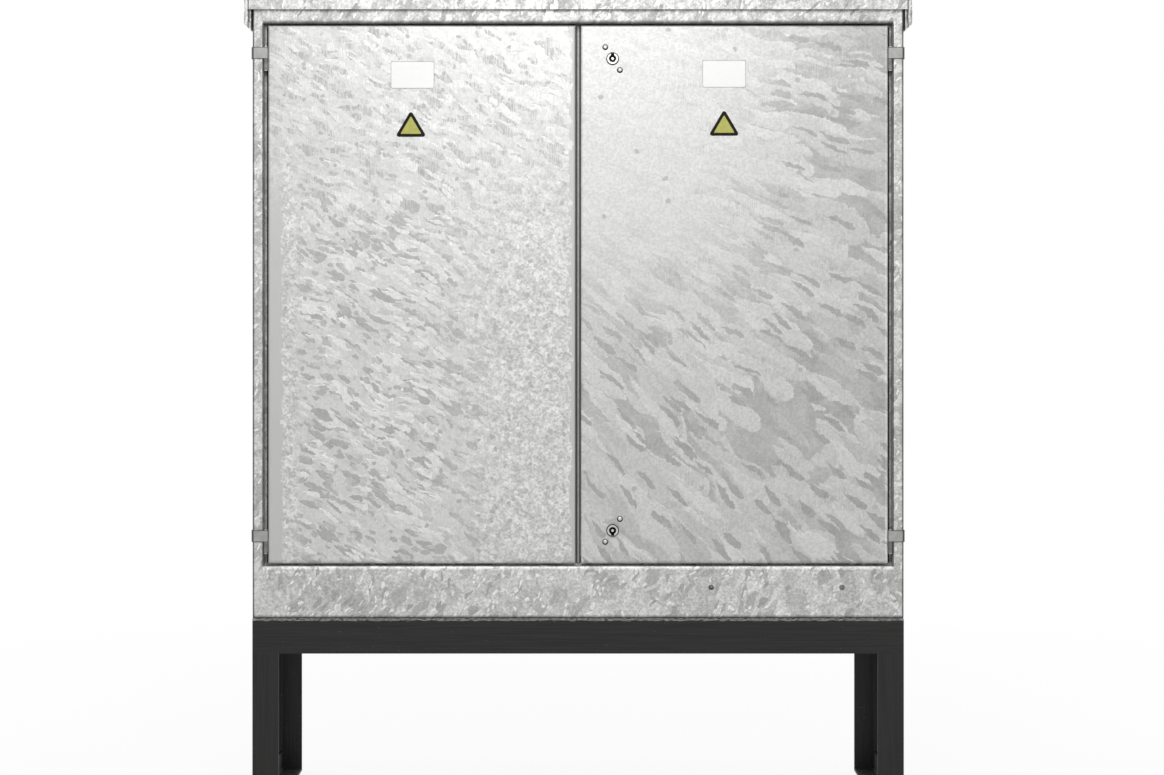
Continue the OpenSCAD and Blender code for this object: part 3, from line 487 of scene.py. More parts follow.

# Its dark slivers, the tone of the painted pool of light, scratched patches, grain, and the painted
# highlight along the hinge edge
SLIVER_SIZE = (0.06, 0.012)
SLIVER_SHIFT = 17.0
SLIVER_SHARE = (0.26, 0.25)
SLIVER_TONE = 0.44
LIT_POOL_SHARE = 0.8
LIT_POOL_TONE = 0.70
SCRATCH_PUSH = (0.03, 0.03)
SCRATCH_SIZE = (0.09, 0.035, 1.0)
SCRATCH_RANGE = (0.56, 0.60)
SCRATCH_X = (0.08, 0.2)
SCRATCH_SHADE = 0.88
RIGHT_GRAIN = (0.0035, 0.075)
RIGHT_STROKES = 0.03
RIGHT_DOTS = (0.06, 0.0055, 0.2)
HINGE_HIGHLIGHT_X = (-LEFT_EDGE - 0.0045, -LEFT_EDGE - 0.0015)
HINGE_HIGHLIGHT_GAIN = 1.3


def right_door_cover(f, lit_pool):
    """The share of flakes kept on the right door."""
    x, _, z = f.axes(f.place)
    rim = f.times(f.ease(x, *RIM_X), f.ease(z, *RIM_Z))
    patch = f.ease(f.vector_length(f.vector("SUBTRACT", f.place, PATCH_PLACE)), *PATCH_R)
    crest = f.times(f.ease(z, *CREST_Z), CREST_COVER)
    changes = (f.times(lit_pool, LIT_POOL_COVER), f.times(rim, RIM_COVER), f.times(patch, PATCH_COVER), crest)
    return f.add_up(RIGHT_COVER, *changes)


def right_door_zinc():
    """Large flakes that fan out downward to the right, lighter and plainer near the upper lock in a painted
    pool of light.
    """
    f = Finish("right_door_zinc")
    x, _, z = f.axes(f.place)
    flow = fanned(f, f.ragged(*RIGHT_PUSHES), FAN_CENTRE, FAN_RADIUS)
    # A painted pool of light: the upper part near the doors' middle keeps more flakes, loses its slivers
    # and turns lighter and plainer
    lit_pool = f.times(f.ease(x, *LIT_POOL_X), f.ease(z, *LIT_POOL_Z))
    ground = f.ease(f.noise(f.place, GROUND_SIZE), *GROUND_RANGE, *GROUND_TONES)
    tone = layered(f, flow, ground, RIGHT_FLAKES, right_door_cover(f, lit_pool), RIGHT_RIM_LIGHT)
    sliver, chance, _ = flakes(f, flow, SLIVER_SIZE, SLIVER_SHIFT)
    sliver = f.times(sliver, f.ease(chance, *SLIVER_SHARE))
    tone = f.mix(f.times(sliver, f.less(1.0, lit_pool)), tone, SLIVER_TONE)
    tone = f.mix(f.times(lit_pool, LIT_POOL_SHARE), tone, LIT_POOL_TONE)
    patches = f.ease(f.noise(f.ragged(SCRATCH_PUSH), SCRATCH_SIZE), *SCRATCH_RANGE)
    scratched = f.times(hatch(f), f.times(patches, f.ease(x, *SCRATCH_X)))
    tone = shaded(f, tone, scratched, SCRATCH_SHADE)
    tone = f.times(f.times(tone, speckle(f, *RIGHT_GRAIN)), strokes(f, RIGHT_STROKES))
    tone = f.mix(dots(f, *RIGHT_DOTS), tone, DOT_TONE)
    # A painted highlight along the door's rounded hinge edge
    return door_zinc(f, shaded(f, tone, within(f, x, *HINGE_HIGHLIGHT_X), HINGE_HIGHLIGHT_GAIN))


# Mottled sheet: its flakes, how they are pushed about and lean, how many are kept, the painted light on
# their rims, its patches, clouds and grains
SHEET_FLAKES = (
    ((0.050, 0.022), 0.49, 0.58),
    ((0.036, 0.016), 0.76, 0.66),
    ((0.024, 0.010), 0.42, 0.80),
    ((0.012, 0.006), 0.90, 0.50),
)
SHEET_PUSHES = ((0.05, 0.03), (0.014, 0.006), (0.004, 0.0025))
SHEET_LEAN = 62.0
SHEET_COVER = 0.15
SHEET_RIM_LIGHT = 0.2
MOTTLE_STRETCH = 1.3
MOTTLE_TONES = (0.55, 0.71)
CLOUD_SHARE = 0.4
CLOUD_TONES = (0.92, 1.06)
SHEET_GRAIN = (0.004, 0.11)
SHEET_FINE_GRAIN = (0.0025, 0.13)
DRIP_SIZE = (0.006, 0.006, 0.09)
DRIP_RANGE = (0.35, 0.65)
DRIP_TONES = (0.9, 1.05)


def mottle(finish, size):
    """Tone of a mottled sheet with patches of that size under small flakes."""
    ragged = finish.ragged(*SHEET_PUSHES)
    chance = finish.cells(finish.scaled(ragged, (size, size * MOTTLE_STRETCH, 1.0)))[1]
    cloud = finish.spread(finish.noise(finish.place, size * CLOUD_SHARE), *CLOUD_TONES)
    tone = finish.times(finish.ease(chance, 0.0, 1.0, *MOTTLE_TONES), cloud)
    tone = finish.times(tone, speckle(finish, *SHEET_GRAIN))
    flow = along(finish, ragged, SHEET_LEAN)
    tone = layered(finish, flow, tone, SHEET_FLAKES, SHEET_COVER, SHEET_RIM_LIGHT)
    return finish.times(tone, speckle(finish, *SHEET_FINE_GRAIN))


def drips(finish):
    """Upright runs about 1, as hot zinc leaves them."""
    return finish.ease(finish.noise(finish.place, DRIP_SIZE), *DRIP_RANGE, *DRIP_TONES)


SHEET_PATCH = 0.028
ROOF_PATCH = 0.024
FRAME_PATCH = 0.022
# The slits beside the fascia get painted shade
SLIT_X = (ROOF_HALF_W - SKIRT_RETURN - 0.0012, ROOF_HALF_W - SKIRT_RETURN + 0.0002)
SLIT_SHADE = 0.25


def sheet_zinc():
    """Plain mottled sheet."""
    f = Finish("sheet_zinc")
    return zinc(f, mottle(f, SHEET_PATCH))


def roof_zinc():
    """Mottled sheet with runs, and painted shade along the slit where the skirts' ends are closed."""
    f = Finish("roof_zinc")
    slit = within(f, f.math("ABSOLUTE", f.axes(f.place)[0]), *SLIT_X)
    return zinc(f, shaded(f, f.times(mottle(f, ROOF_PATCH), drips(f)), slit, SLIT_SHADE))


# Front frame: where its runs begin, and where painted shade and a painted highlight lie along its folds
RUNS_Z = (OPEN_TOP - 0.05, OPEN_TOP)
CORNER_X = (HALF_W - 0.004, HALF_W - 0.003)
CORNER_Y = (DOOR_FRONT + 0.0045, DOOR_FRONT + 0.003)
JAMB_X = (OPEN_HW - 0.001, OPEN_HW + 0.0015)
JAMB_Y = (DOOR_FRONT + 0.006, DOOR_FRONT + 0.004)
ACROSS_X = (OPEN_HW + 0.001, OPEN_HW)
LINTEL_UPPER_Z = (OPEN_TOP + 0.008, OPEN_TOP + 0.001)
LINTEL_LOWER_Z = (OPEN_TOP - 0.002, OPEN_TOP)
SILL_Z = (OPEN_FOOT - 0.0055, OPEN_FOOT)
JOINT_Z = (ROOT_TOP + 0.008, ROOT_TOP + 0.001)
FOLD_SHADE = 0.3
SILL_HIGHLIGHT = 1.4
JOINT_SHADE = 0.25


def frame_zinc():
    """Mottled sheet with painted shade along the folds of the posts, jambs, lintel and plinth foot, and a
    painted highlight on the sill.
    """
    f = Finish("frame_zinc")
    x, y, z = f.axes(f.place)
    side = f.math("ABSOLUTE", x)
    across = f.ease(side, *ACROSS_X)
    tone = f.times(mottle(f, FRAME_PATCH), f.mix(f.ease(z, *RUNS_Z), 1.0, drips(f)))
    # Painted shade on the posts' rounded outer corners, the jambs and the lintel's lower fold
    corner = f.times(f.ease(side, *CORNER_X), f.ease(y, *CORNER_Y))
    tone = shaded(f, tone, corner, FOLD_SHADE)
    jamb = f.times(within(f, side, *JAMB_X), within(f, z, OPEN_FOOT, OPEN_TOP))
    tone = shaded(f, tone, f.times(jamb, f.ease(y, *JAMB_Y)), FOLD_SHADE)
    lintel = f.times(f.ease(z, *LINTEL_UPPER_Z), f.ease(z, *LINTEL_LOWER_Z))
    tone = shaded(f, tone, f.times(lintel, across), FOLD_SHADE)
    # Painted highlight on the sill's top edge, and painted shade on the plinth's foot above the root
    tone = shaded(f, tone, f.times(within(f, z, *SILL_Z), across), SILL_HIGHLIGHT)
    return zinc(f, shaded(f, tone, f.ease(z, *JOINT_Z), JOINT_SHADE))


STRIP_BRIGHT_X = (-0.0008, 0.0014)
STRIP_DARK = 0.10
STRIP_BRIGHT = 0.48
STRIP_GRAIN = (0.004, 0.08)


def strip_zinc():
    """The meeting strip, bright down its middle and dark in the shade on both sides."""
    f = Finish("strip_zinc")
    tone = f.mix(within(f, f.axes(f.place)[0], *STRIP_BRIGHT_X), STRIP_DARK, STRIP_BRIGHT)
    return zinc(f, f.times(tone, speckle(f, *STRIP_GRAIN)))


# Black paint: brush marks up the legs and along the beams, flecks, and the worn line at the top joint
PAINT_TINT = (1.0, 0.99, 0.97)
PAINT_ROUGHNESS = (0.5, 0.65)
PAINT_SPECULAR = 0.25
PAINT_RELIEF = 0.0003
LYING_Z = (BEAM_FOOT - 0.002, BEAM_FOOT + 0.002)
MARKS_UP = (0.003, 0.003, 0.12)
MARKS_ALONG = (0.12, 0.003, 0.003)
MARK_TONES = (0.74, 1.26)
FLECK_SIZE = (0.012, 0.004, 0.004)
FLECK_RANGE = (0.68, 0.74)
FLECK_TONE = 0.05
WORN_Z = (ROOT_TOP - 0.002, ROOT_TOP - 0.001)
WORN_WANDER = ((0.02, 0.02, 0.003), 0.006)
WORN_TONE = 0.36
BREAK_SIZE = (0.008, 0.01, 0.0011)
BREAK_RANGE = (0.44, 0.54)
BREAK_LEAST = 0.15


def root_paint(name, level):
    """Matt black paint with brush marks, light flecks, and a worn line along the top joint."""
    f = Finish(name)
    z = f.axes(f.place)[2]
    marks = f.mix(f.ease(z, *LYING_Z), f.noise(f.place, MARKS_UP), f.noise(f.place, MARKS_ALONG))
    tone = f.spread(marks, *(level * share for share in MARK_TONES))
    flecks = f.ease(f.noise(f.place, FLECK_SIZE, STAIN_DETAIL), *FLECK_RANGE, 0.0, FLECK_TONE)
    broken = f.ease(f.noise(f.place, BREAK_SIZE, STAIN_DETAIL), *BREAK_RANGE, BREAK_LEAST, 1.0)
    worn = f.times(f.ease(wandering(f, z, *WORN_WANDER), *WORN_Z), broken)
    tone = f.mix(worn, f.add_up(tone, flecks), WORN_TONE)
    f.put(Base_Color=f.tinted(tone, PAINT_TINT), Roughness=f.spread(marks, *PAINT_ROUGHNESS))
    f.put(Specular_IOR_Level=PAINT_SPECULAR)
    f.relief(marks, PAINT_RELIEF)
    return f.material


# Plated steel: stains, grain and a faint wave
STAIN_SIZE = 0.012
STEEL_GRAIN = (0.002, 0.05)
STEEL_WAVE = 0.004
STEEL_WAVE_DEPTH = 0.0002
STAINED_ROUGHER = 0.08
CLEAN_SMOOTHER = 0.05


def steel_tone(finish, low, high):
    """A stain, and the tone that goes from low to high with it."""
    stain = finish.noise(finish.place, STAIN_SIZE, STAIN_DETAIL)
    return stain, finish.times(finish.spread(stain, low, high), speckle(finish, *STEEL_GRAIN))


def plain_steel(name, low, high, metal, roughness):
    """A duller plated steel with stains from the low tone to the high one."""
    f = Finish(name)
    stain, tone = steel_tone(f, low, high)
    f.put(Base_Color=f.tinted(tone, ZINC_TINT), Metallic=metal)
    f.put(Roughness=f.spread(stain, roughness + STAINED_ROUGHER, roughness - CLEAN_SMOOTHER))
    f.relief(f.noise(f.place, STEEL_WAVE), STEEL_WAVE_DEPTH)
    return f.material


PLATED_TONES = (0.48, 0.66)
PLATED_METAL = 0.6
PLATED_ROUGHNESS = 0.35
PLATED_SPECULAR = 0.5
DARKENED_TONE = 0.02
DARKENED_ROUGHNESS = 0.8
DARKENED_SPECULAR = 0.1


def plated(finish, dark):
    """Plated steel, near black, matt and not metallic where dark is 1."""
    tone = steel_tone(finish, *PLATED_TONES)[1]
    finish.put(Base_Color=finish.tinted(finish.mix(dark, tone, DARKENED_TONE), ZINC_TINT))
    finish.put(Metallic=finish.mix(dark, PLATED_METAL, 0.0))
    finish.put(Roughness=finish.mix(dark, PLATED_ROUGHNESS, DARKENED_ROUGHNESS))
    finish.put(Specular_IOR_Level=finish.mix(dark, PLATED_SPECULAR, DARKENED_SPECULAR))
    finish.relief(finish.noise(finish.place, STEEL_WAVE), STEEL_WAVE_DEPTH)
    return finish.material


# Locks on the right door: their line, their distance from the door's middle, and where they are dark: in
# the recesses, and with painted shade round the rings
LOCK_X = 0.0635
LOCK_MIDDLE = 0.9465
LOCK_REACH = 0.4345
LOCK_RING_R = 0.0108
LOCK_RECESS_R = 0.0068
LOCK_PIN_R = 0.0024
LOCK_SLOT = 0.0028
LOCK_SLOT_END = 0.0106
RING_EDGE = (LOCK_RING_R * 0.9, LOCK_RING_R * 0.94)
RECESS_EDGE = (LOCK_RECESS_R, LOCK_RECESS_R * 0.97)
PIN_EDGE = (LOCK_PIN_R, LOCK_PIN_R * 1.04)
SLOT_EDGE = (LOCK_SLOT * 1.1, LOCK_SLOT)
RECESS_DEPTH = 0.012
FACE_DEPTH = 0.002
DEPTH_EDGE = 0.0005

# Lock screws: their place about a lock, the painted shade round their rims, and how far up their unshaded
# middles sit
SCREW_PLACE = (-0.01343, 0.02108, 0.0)
SCREW_RIM_R = 0.0035
SCREW_RIM_EDGE = (SCREW_RIM_R, SCREW_RIM_R * 1.1)
SCREW_SHADE = 0.0008


def lock_plane(finish):
    """Place about the nearer lock's axis, with its second axis away from the door's middle."""
    x, _, z = finish.axes(finish.place)
    away = finish.math("ABSOLUTE", finish.less(z, LOCK_MIDDLE))
    return finish.join(finish.less(x, LOCK_X), finish.less(away, LOCK_REACH), 0.0)


def outside(finish, depth):
    """1 before the doors' faces and to that depth behind them."""
    return finish.ease(finish.axes(finish.place)[1], DOOR_FRONT + depth + DEPTH_EDGE, DOOR_FRONT + depth)


def lock_steel():
    """Plated steel, dark in the locks' recesses and key slots round the guide pins, and with painted shade
    round the rings.
    """
    f = Finish("lock_steel")
    spot = lock_plane(f)
    across, away, _ = f.axes(spot)
    radius = f.vector_length(spot)
    slot = f.ease(f.math("ABSOLUTE", across), *SLOT_EDGE)
    slot = f.times(slot, within(f, away, 0.0, LOCK_SLOT_END))
    recess = f.math("MAXIMUM", slot, f.ease(radius, *RECESS_EDGE))
    recess = f.times(f.times(recess, f.ease(radius, *PIN_EDGE)), outside(f, RECESS_DEPTH))
    # Painted shade over the ring's rounded outer rim and the gap about it
    ring = f.times(f.ease(radius, *RING_EDGE), outside(f, FACE_DEPTH))
    return plated(f, f.math("MAXIMUM", recess, ring))


def screw_steel():
    """Plated steel with painted shade round the rims of the lock screws' heads, heavier below."""
    f = Finish("screw_steel")
    upper = f.math("SIGN", f.less(f.axes(f.place)[2], LOCK_MIDDLE))
    # Moving the place up shifts the painted shade towards the lower side of each head
    spot = f.vector("SUBTRACT", lock_plane(f), f.join(0.0, f.times(upper, SCREW_SHADE), 0.0))
    first = f.vector_length(f.vector("SUBTRACT", spot, SCREW_PLACE))
    second = f.vector_length(f.vector("ADD", spot, SCREW_PLACE))
    rim = f.ease(f.math("MINIMUM", first, second), *SCREW_RIM_EDGE)
    return plated(f, f.times(rim, outside(f, FACE_DEPTH)))


# Hinge straps: their distance from the doors' middle, their half width, and the painted shade lines on them
STRAP_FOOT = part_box("top_left_hinge_strap")[0].z
STRAP_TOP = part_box("top_left_hinge_strap")[1].z
STRAP_REACH = (STRAP_TOP + STRAP_FOOT) / 2 - LOCK_MIDDLE
STRAP_HALF = (STRAP_TOP - STRAP_FOOT) / 2
STRAP_EDGE = (STRAP_HALF - 0.0014, STRAP_HALF - 0.0008)
STRAP_CORNER_X = (HALF_W - 0.003, HALF_W - 0.002)
STRAP_CORNER_Y = (DOOR_FRONT + 0.003, DOOR_FRONT + 0.002)
STRAP_TONES = (0.38, 0.46)
STRAP_SHADE_TONE = 0.08


def strap_steel():
    """Dull plated straps with painted shade lines along their cut edges and at the body's corner."""
    f = Finish("strap_steel")
    x, y, z = f.axes(f.place)
    away = f.less(f.math("ABSOLUTE", f.less(z, LOCK_MIDDLE)), STRAP_REACH)
    edge = f.ease(f.math("ABSOLUTE", away), *STRAP_EDGE)
    corner = f.times(f.ease(f.math("ABSOLUTE", x), *STRAP_CORNER_X), f.ease(y, *STRAP_CORNER_Y))
    tone = steel_tone(f, *STRAP_TONES)[1]
    return zinc(f, f.mix(f.math("MAXIMUM", edge, corner), tone, STRAP_SHADE_TONE))


MOULDING_CLOUD = 0.02
MOULDING_TONES = (0.9, 1.08)
MOULDING_GLOSS = 0.003
MOULDING_GLOSS_STEP = 0.06
MOULDING_SPARK = 0.0008
MOULDING_SPARK_DEPTH = 0.0001


def moulding(name, colour, roughness):
    """Moulded plastic with a fine spark texture and faint cloudiness."""
    f = Finish(name)
    f.put(Base_Color=f.tinted(f.spread(f.noise(f.place, MOULDING_CLOUD), *MOULDING_TONES), colour))
    gloss = f.noise(f.place, MOULDING_GLOSS)
    f.put(Roughness=f.spread(gloss, roughness - MOULDING_GLOSS_STEP, roughness + MOULDING_GLOSS_STEP))
    f.relief(f.noise(f.place, MOULDING_SPARK), MOULDING_SPARK_DEPTH)
    return f.material


BAR_LINES = (0.05, 0.0012, 0.0012)
BAR_LINE_DEPTH = 0.0001
BAR_SMOOTHER = 0.08
BAR_ROUGHER = 0.1
TARNISH_SIZE = 0.015
TARNISH_TONES = (0.75, 1.05)


def bare_metal(name, colour, roughness):
    """Drawn bar with fine lines along it and a little tarnish."""
    f = Finish(name)
    lines = f.noise(f.place, BAR_LINES)
    tarnish = f.noise(f.place, TARNISH_SIZE, STAIN_DETAIL)
    f.put(Base_Color=f.tinted(f.spread(tarnish, *TARNISH_TONES), colour), Metallic=1.0)
    f.put(Roughness=f.spread(lines, roughness - BAR_SMOOTHER, roughness + BAR_ROUGHER))
    f.relief(lines, BAR_LINE_DEPTH)
    return f.material


PLY_PUSH = (0.2, 0.03)
PLY_GRAIN = (0.009, 0.5, 1.0)
PLY_RANGE = (0.25, 0.75)
PLY_DARK = (0.48, 0.33, 0.19, 1.0)
PLY_LIGHT = (0.60, 0.45, 0.28, 1.0)
PLY_ROUGHNESS = (0.7, 0.55)
PLY_RELIEF = 0.0004


def plywood():
    """Birch board: long wavy grain on its faces."""
    f = Finish("board_ply")
    grain = f.noise(f.ragged(PLY_PUSH), PLY_GRAIN, GRAIN_DETAIL)
    f.put(Base_Color=f.mix(f.ease(grain, *PLY_RANGE), PLY_DARK, PLY_LIGHT, "Color"))
    f.put(Roughness=f.spread(grain, *PLY_ROUGHNESS))
    f.relief(grain, PLY_RELIEF)
    return f.material


FILM_SHEEN = 0.002
LABEL_TINT = (1.0, 1.0, 0.995)
LABEL_CLOUD = 0.01
LABEL_TONES = (0.98, 1.0)
LABEL_ROUGHNESS = (0.35, 0.45)
SIGN_CLOUD = 0.008
SIGN_TONES = (0.92, 1.06)
SIGN_ROUGHNESS = (0.7, 0.8)
SIGN_SPECULAR = 0.15


def label_film():
    """White film with a faint grain."""
    f = Finish("label_film")
    f.put(Base_Color=f.tinted(f.spread(f.noise(f.place, LABEL_CLOUD), *LABEL_TONES), LABEL_TINT))
    f.put(Roughness=f.spread(f.noise(f.place, FILM_SHEEN), *LABEL_ROUGHNESS))
    return f.material


def sign_film(name, colour):
    """Printed film, faded a little in patches."""
    f = Finish(name)
    f.put(Base_Color=f.tinted(f.spread(f.noise(f.place, SIGN_CLOUD), *SIGN_TONES), colour))
    f.put(Roughness=f.spread(f.noise(f.place, FILM_SHEEN), *SIGN_ROUGHNESS))
    f.put(Specular_IOR_Level=SIGN_SPECULAR)
    return f.material


FINISHES = {
    "galvanised": sheet_zinc(),
    "root_paint": root_paint("root_paint", level=0.024),
    "fixings": plain_steel("fixings", low=0.35, high=0.55, metal=0.7, roughness=0.35),
    "hinge_steel": plain_steel("hinge_steel", low=0.36, high=0.46, metal=0.5, roughness=0.45),
    "lock_steel": lock_steel(),
    "seal_rubber": moulding("seal_rubber", (0.02, 0.02, 0.02), roughness=0.7),
    "board_ply": plywood(),
    "black_moulding": moulding("black_moulding", (0.025, 0.025, 0.027), roughness=0.5),
    "pale_moulding": moulding("pale_moulding", (0.6, 0.6, 0.57), roughness=0.5),
    "red_moulding": moulding("red_moulding", (0.5, 0.02, 0.015), roughness=0.4),
    "brass": bare_metal("brass", (0.78, 0.57, 0.28), roughness=0.32),
    "copper": bare_metal("copper", (0.8, 0.42, 0.28), roughness=0.32),
}
# The rear legs get a lighter copy of the black paint: painted light, for the light that reaches them past
# the open sides of the root
REAR_LIT_PAINT = root_paint("rear_lit_paint", level=0.038)
STRAP_STEEL = strap_steel()
LEAF_STEEL = plain_steel("leaf_steel", low=0.14, high=0.24, metal=0.3, roughness=0.5)
OWN_FINISH = {
    "left_door_pan": left_door_zinc(),
    "right_door_pan": right_door_zinc(),
    "front_frame": frame_zinc(),
    "roof_lid": roof_zinc(),
    "meeting_strip": strip_zinc(),
    "lock_screws": screw_steel(),
    "earth_bar_bolts": plain_steel("bolt_steel", low=0.04, high=0.2, metal=0.4, roughness=0.4),
    "rear_left_leg": REAR_LIT_PAINT,
    "rear_right_leg": REAR_LIT_PAINT,
}
for hinge in ("top_left", "bottom_left", "top_right", "bottom_right"):
    OWN_FINISH[hinge + "_hinge_strap"] = STRAP_STEEL
    OWN_FINISH[hinge + "_hinge_leaf"] = LEAF_STEEL


def dress(finishes, own):
    """Gives each solid its own finish, or that of its slot in the record."""
    for row in frame["record"]["subparts"]:
        data = nodes[row["node"]].data
        data.materials.clear()
        data.materials.append(own.get(row["node"], finishes[row["material_slot"]]))


dress(FINISHES, OWN_FINISH)


# Blank plates on the doors, label films and three-cornered signs: each one's place across and up, and body
LABELS = {
    "left_label": (-0.305, 1.351, "left_door"),
    "right_label": (0.269, 1.353, "right_door"),
}
SIGNS = {
    "left_sign": (-0.308, 1.237, "left_door"),
    "right_sign": (0.269, 1.239, "right_door"),
}
LABEL_W = 0.080
LABEL_H = 0.050
LABEL_R = 0.003
LABEL_BORDER = 0.0009
SIGN_W = 0.058
SIGN_H = 0.049
SIGN_R = 0.004
SIGN_INNER_R = SIGN_R / 4
SIGN_BORDER = 0.0055
FILM_T = 0.0004
ARC_STEPS = 8
LABEL_FILM = label_film()
# The labels' thin grey edge is a painted shadow
LABEL_SHADOW_EDGE = sign_film("label_shadow_edge", (0.42, 0.42, 0.42))
SIGN_DARK = sign_film("sign_dark", (0.014, 0.013, 0.009))
SIGN_YELLOW = sign_film("sign_yellow", (0.54, 0.53, 0.15))


def rounded(corners, radius):
    """Outline of a convex polygon in the front plane with its corners rounded, anticlockwise."""
    points = []
    for i, corner in enumerate(corners):
        back = (corners[i - 1] - corner).normalized()
        ahead = (corners[(i + 1) % len(corners)] - corner).normalized()
        half = back.angle(ahead) / 2
        centre = corner + (back + ahead).normalized() * (radius / math.sin(half))
        start = corner + back * (radius / math.tan(half)) - centre
        end = corner + ahead * (radius / math.tan(half)) - centre
        for step in range(ARC_STEPS + 1):
            points.append(centre + start.slerp(end, step / ARC_STEPS).normalized() * radius)
    return points


def film(name, rim, inner, edge_material, face_material, body):
    """A thin plate on the door's face, with an edge between its rim and its inner outline."""
    mesh = bpy.data.meshes.new(name)
    shape = bmesh.new()
    front = DOOR_FRONT - FILM_T
    back = [shape.verts.new((p.x, DOOR_FRONT, p.y)) for p in rim]
    rings = [[shape.verts.new((p.x, front, p.y)) for p in outline] for outline in (rim, inner)]
    shape.faces.new(reversed(back))
    for outer, inner_ring in zip([back] + rings, rings):
        for i in range(len(outer)):
            j = (i + 1) % len(outer)
            shape.faces.new((outer[i], outer[j], inner_ring[j], inner_ring[i]))
    shape.faces.new(rings[-1]).material_index = 1
    bmesh.ops.recalc_face_normals(shape, faces=shape.faces)
    shape.to_mesh(mesh)
    shape.free()
    mesh.materials.append(edge_material)
    mesh.materials.append(face_material)
    piece = bpy.data.objects.new(name, mesh)
    bpy.context.scene.collection.objects.link(piece)
    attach(piece, body)


def label(name, x, z, body):
    """A blank white label with a thin grey edge of painted shadow, about its middle."""
    sides = ((-1, -1), (1, -1), (1, 1), (-1, 1))
    corners = [Vector((x + a * LABEL_W / 2, z + b * LABEL_H / 2)) for a, b in sides]
    inner = [c - Vector(side) * LABEL_BORDER for c, side in zip(corners, sides)]
    film(name, rounded(corners, LABEL_R), rounded(inner, LABEL_R), LABEL_SHADOW_EDGE, LABEL_FILM, body)


def sign(name, x, foot, body):
    """A blank yellow triangle with a dark edge, above its foot."""
    corners = [Vector((x - SIGN_W / 2, foot)), Vector((x + SIGN_W / 2, foot)), Vector((x, foot + SIGN_H))]
    middle = sum(corners, Vector((0, 0))) / len(corners)
    rise = middle.y - foot
    inner = [middle + (c - middle) * (1 - SIGN_BORDER / rise) for c in corners]
    film(name, rounded(corners, SIGN_R), rounded(inner, SIGN_INNER_R), SIGN_DARK, SIGN_YELLOW, body)


for label_name, label_setting in LABELS.items():
    label(label_name, *label_setting)
for sign_name, sign_setting in SIGNS.items():
    sign(sign_name, *sign_setting)


def seen_rays(tree):
    """1 for the rays that show the background: camera, glossy and transmission rays."""
    path = tree.nodes.new("ShaderNodeLightPath")
    total = path.outputs["Is Camera Ray"]
    for name in ("Is Glossy Ray", "Is Transmission Ray"):
        node = tree.nodes.new("ShaderNodeMath")
        node.operation = "MAXIMUM"
        tree.links.new(total, node.inputs[0])
        tree.links.new(path.outputs[name], node.inputs[1])
        total = node.outputs[0]
    return total


def mixed_surface(tree, share, first, second, output):
    """Sends first and second, mixed by share, to the tree's output."""
    either = tree.nodes.new("ShaderNodeMixShader")
    for socket, source in zip(either.inputs, (share, first.outputs[0], second.outputs[0])):
        tree.links.new(source, socket)
    tree.links.new(either.outputs[0], tree.nodes[output].inputs["Surface"])


def white_world():
    """An even fill that the camera sees as white."""
    world = bpy.data.worlds.new("studio")
    world.use_nodes = True
    tree = world.node_tree
    fill = tree.nodes["Background"]
    fill.inputs["Color"].default_value = WHITE
    fill.inputs["Strength"].default_value = FILL_LEVEL
    white = tree.nodes.new("ShaderNodeBackground")
    white.inputs["Color"].default_value = WHITE
    mixed_surface(tree, seen_rays(tree), fill, white, "World Output")
    bpy.context.scene.world = world


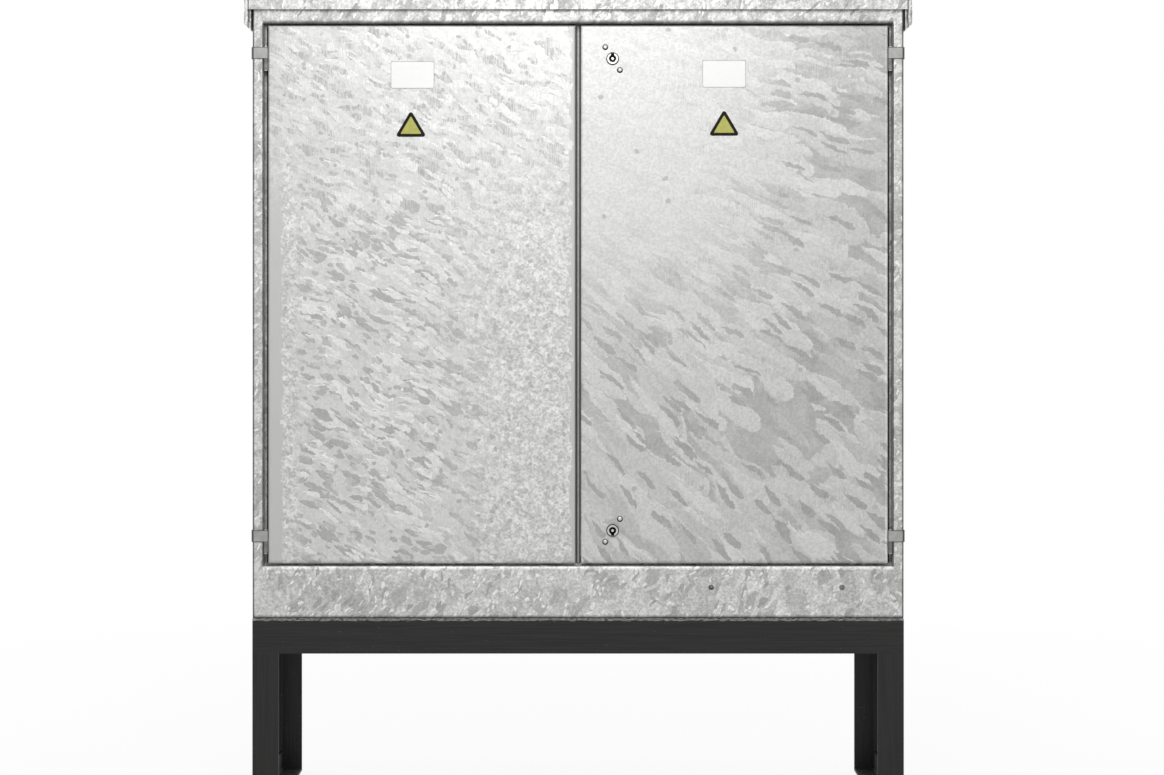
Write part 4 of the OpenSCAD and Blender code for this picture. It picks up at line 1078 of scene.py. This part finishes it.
def floor_paint():
    """Matt pale paint that the camera sees mostly as white, and all white far off."""
    material = bpy.data.materials.new("floor")
    material.use_nodes = True
    tree = material.node_tree
    matt = tree.nodes["Principled BSDF"]
    matt.inputs["Base Color"].default_value = (FLOOR_TONE, FLOOR_TONE, FLOOR_TONE, 1.0)
    matt.inputs["Roughness"].default_value = 1.0
    matt.inputs["Specular IOR Level"].default_value = 0.0
    glow = tree.nodes.new("ShaderNodeEmission")
    place = tree.nodes.new("ShaderNodeTexCoord")
    reach = tree.nodes.new("ShaderNodeVectorMath")
    reach.operation = "LENGTH"
    tree.links.new(place.outputs["Object"], reach.inputs[0])
    near = tree.nodes.new("ShaderNodeMapRange")
    for socket, value in zip(near.inputs[1:5], (FLOOR_NEAR_R, FLOOR_FAR_R, FLOOR_NEAR, 1.0)):
        socket.default_value = value
    tree.links.new(reach.outputs["Value"], near.inputs[0])
    share = tree.nodes.new("ShaderNodeMath")
    share.operation = "MULTIPLY"
    tree.links.new(near.outputs[0], share.inputs[0])
    tree.links.new(seen_rays(tree), share.inputs[1])
    mixed_surface(tree, share.outputs[0], matt, glow, "Material Output")
    return material


def pale_floor():
    """A wide floor that runs out into the white, and still takes the cabinet's shadow."""
    mesh = bpy.data.meshes.new("floor")
    half = FLOOR_SIZE / 2
    corners = [(-half, -half, 0), (half, -half, 0), (half, half, 0), (-half, half, 0)]
    mesh.from_pydata(corners, [], [(0, 1, 2, 3)])
    mesh.materials.append(floor_paint())
    floor = bpy.data.objects.new("floor", mesh)
    bpy.context.scene.collection.objects.link(floor)


def soft_lamp(name, place, aim, size, watts):
    """A round area lamp that the camera doesn't see."""
    data = bpy.data.lights.new(name, "AREA")
    data.shape = "DISK"
    data.size = size
    data.energy = watts
    lamp = bpy.data.objects.new(name, data)
    lamp.location = place
    lamp.rotation_euler = (aim - place).to_track_quat("-Z", "Y").to_euler()
    lamp.visible_camera = False
    bpy.context.scene.collection.objects.link(lamp)


def photo_camera():
    """Level camera whose shift puts the axis on the pixel named above."""
    data = bpy.data.cameras.new("camera")
    data.sensor_width = SENSOR_MM
    data.lens = SENSOR_MM * (DOOR_FRONT - EYE.y) / METRES_PER_PIXEL / PICTURE_W
    data.shift_x = (PICTURE_W / 2 - AXIS_PX) / PICTURE_W
    data.shift_y = (AXIS_PY - PICTURE_H / 2) / PICTURE_W
    camera = bpy.data.objects.new("camera", data)
    camera.location = EYE
    camera.rotation_euler = (math.pi / 2, 0.0, 0.0)
    bpy.context.scene.collection.objects.link(camera)
    bpy.context.scene.camera = camera


white_world()
pale_floor()
for lamp_name, lamp_setting in LAMPS.items():
    soft_lamp(lamp_name, *lamp_setting)
photo_camera()
bpy.context.scene.view_settings.view_transform = "Standard"
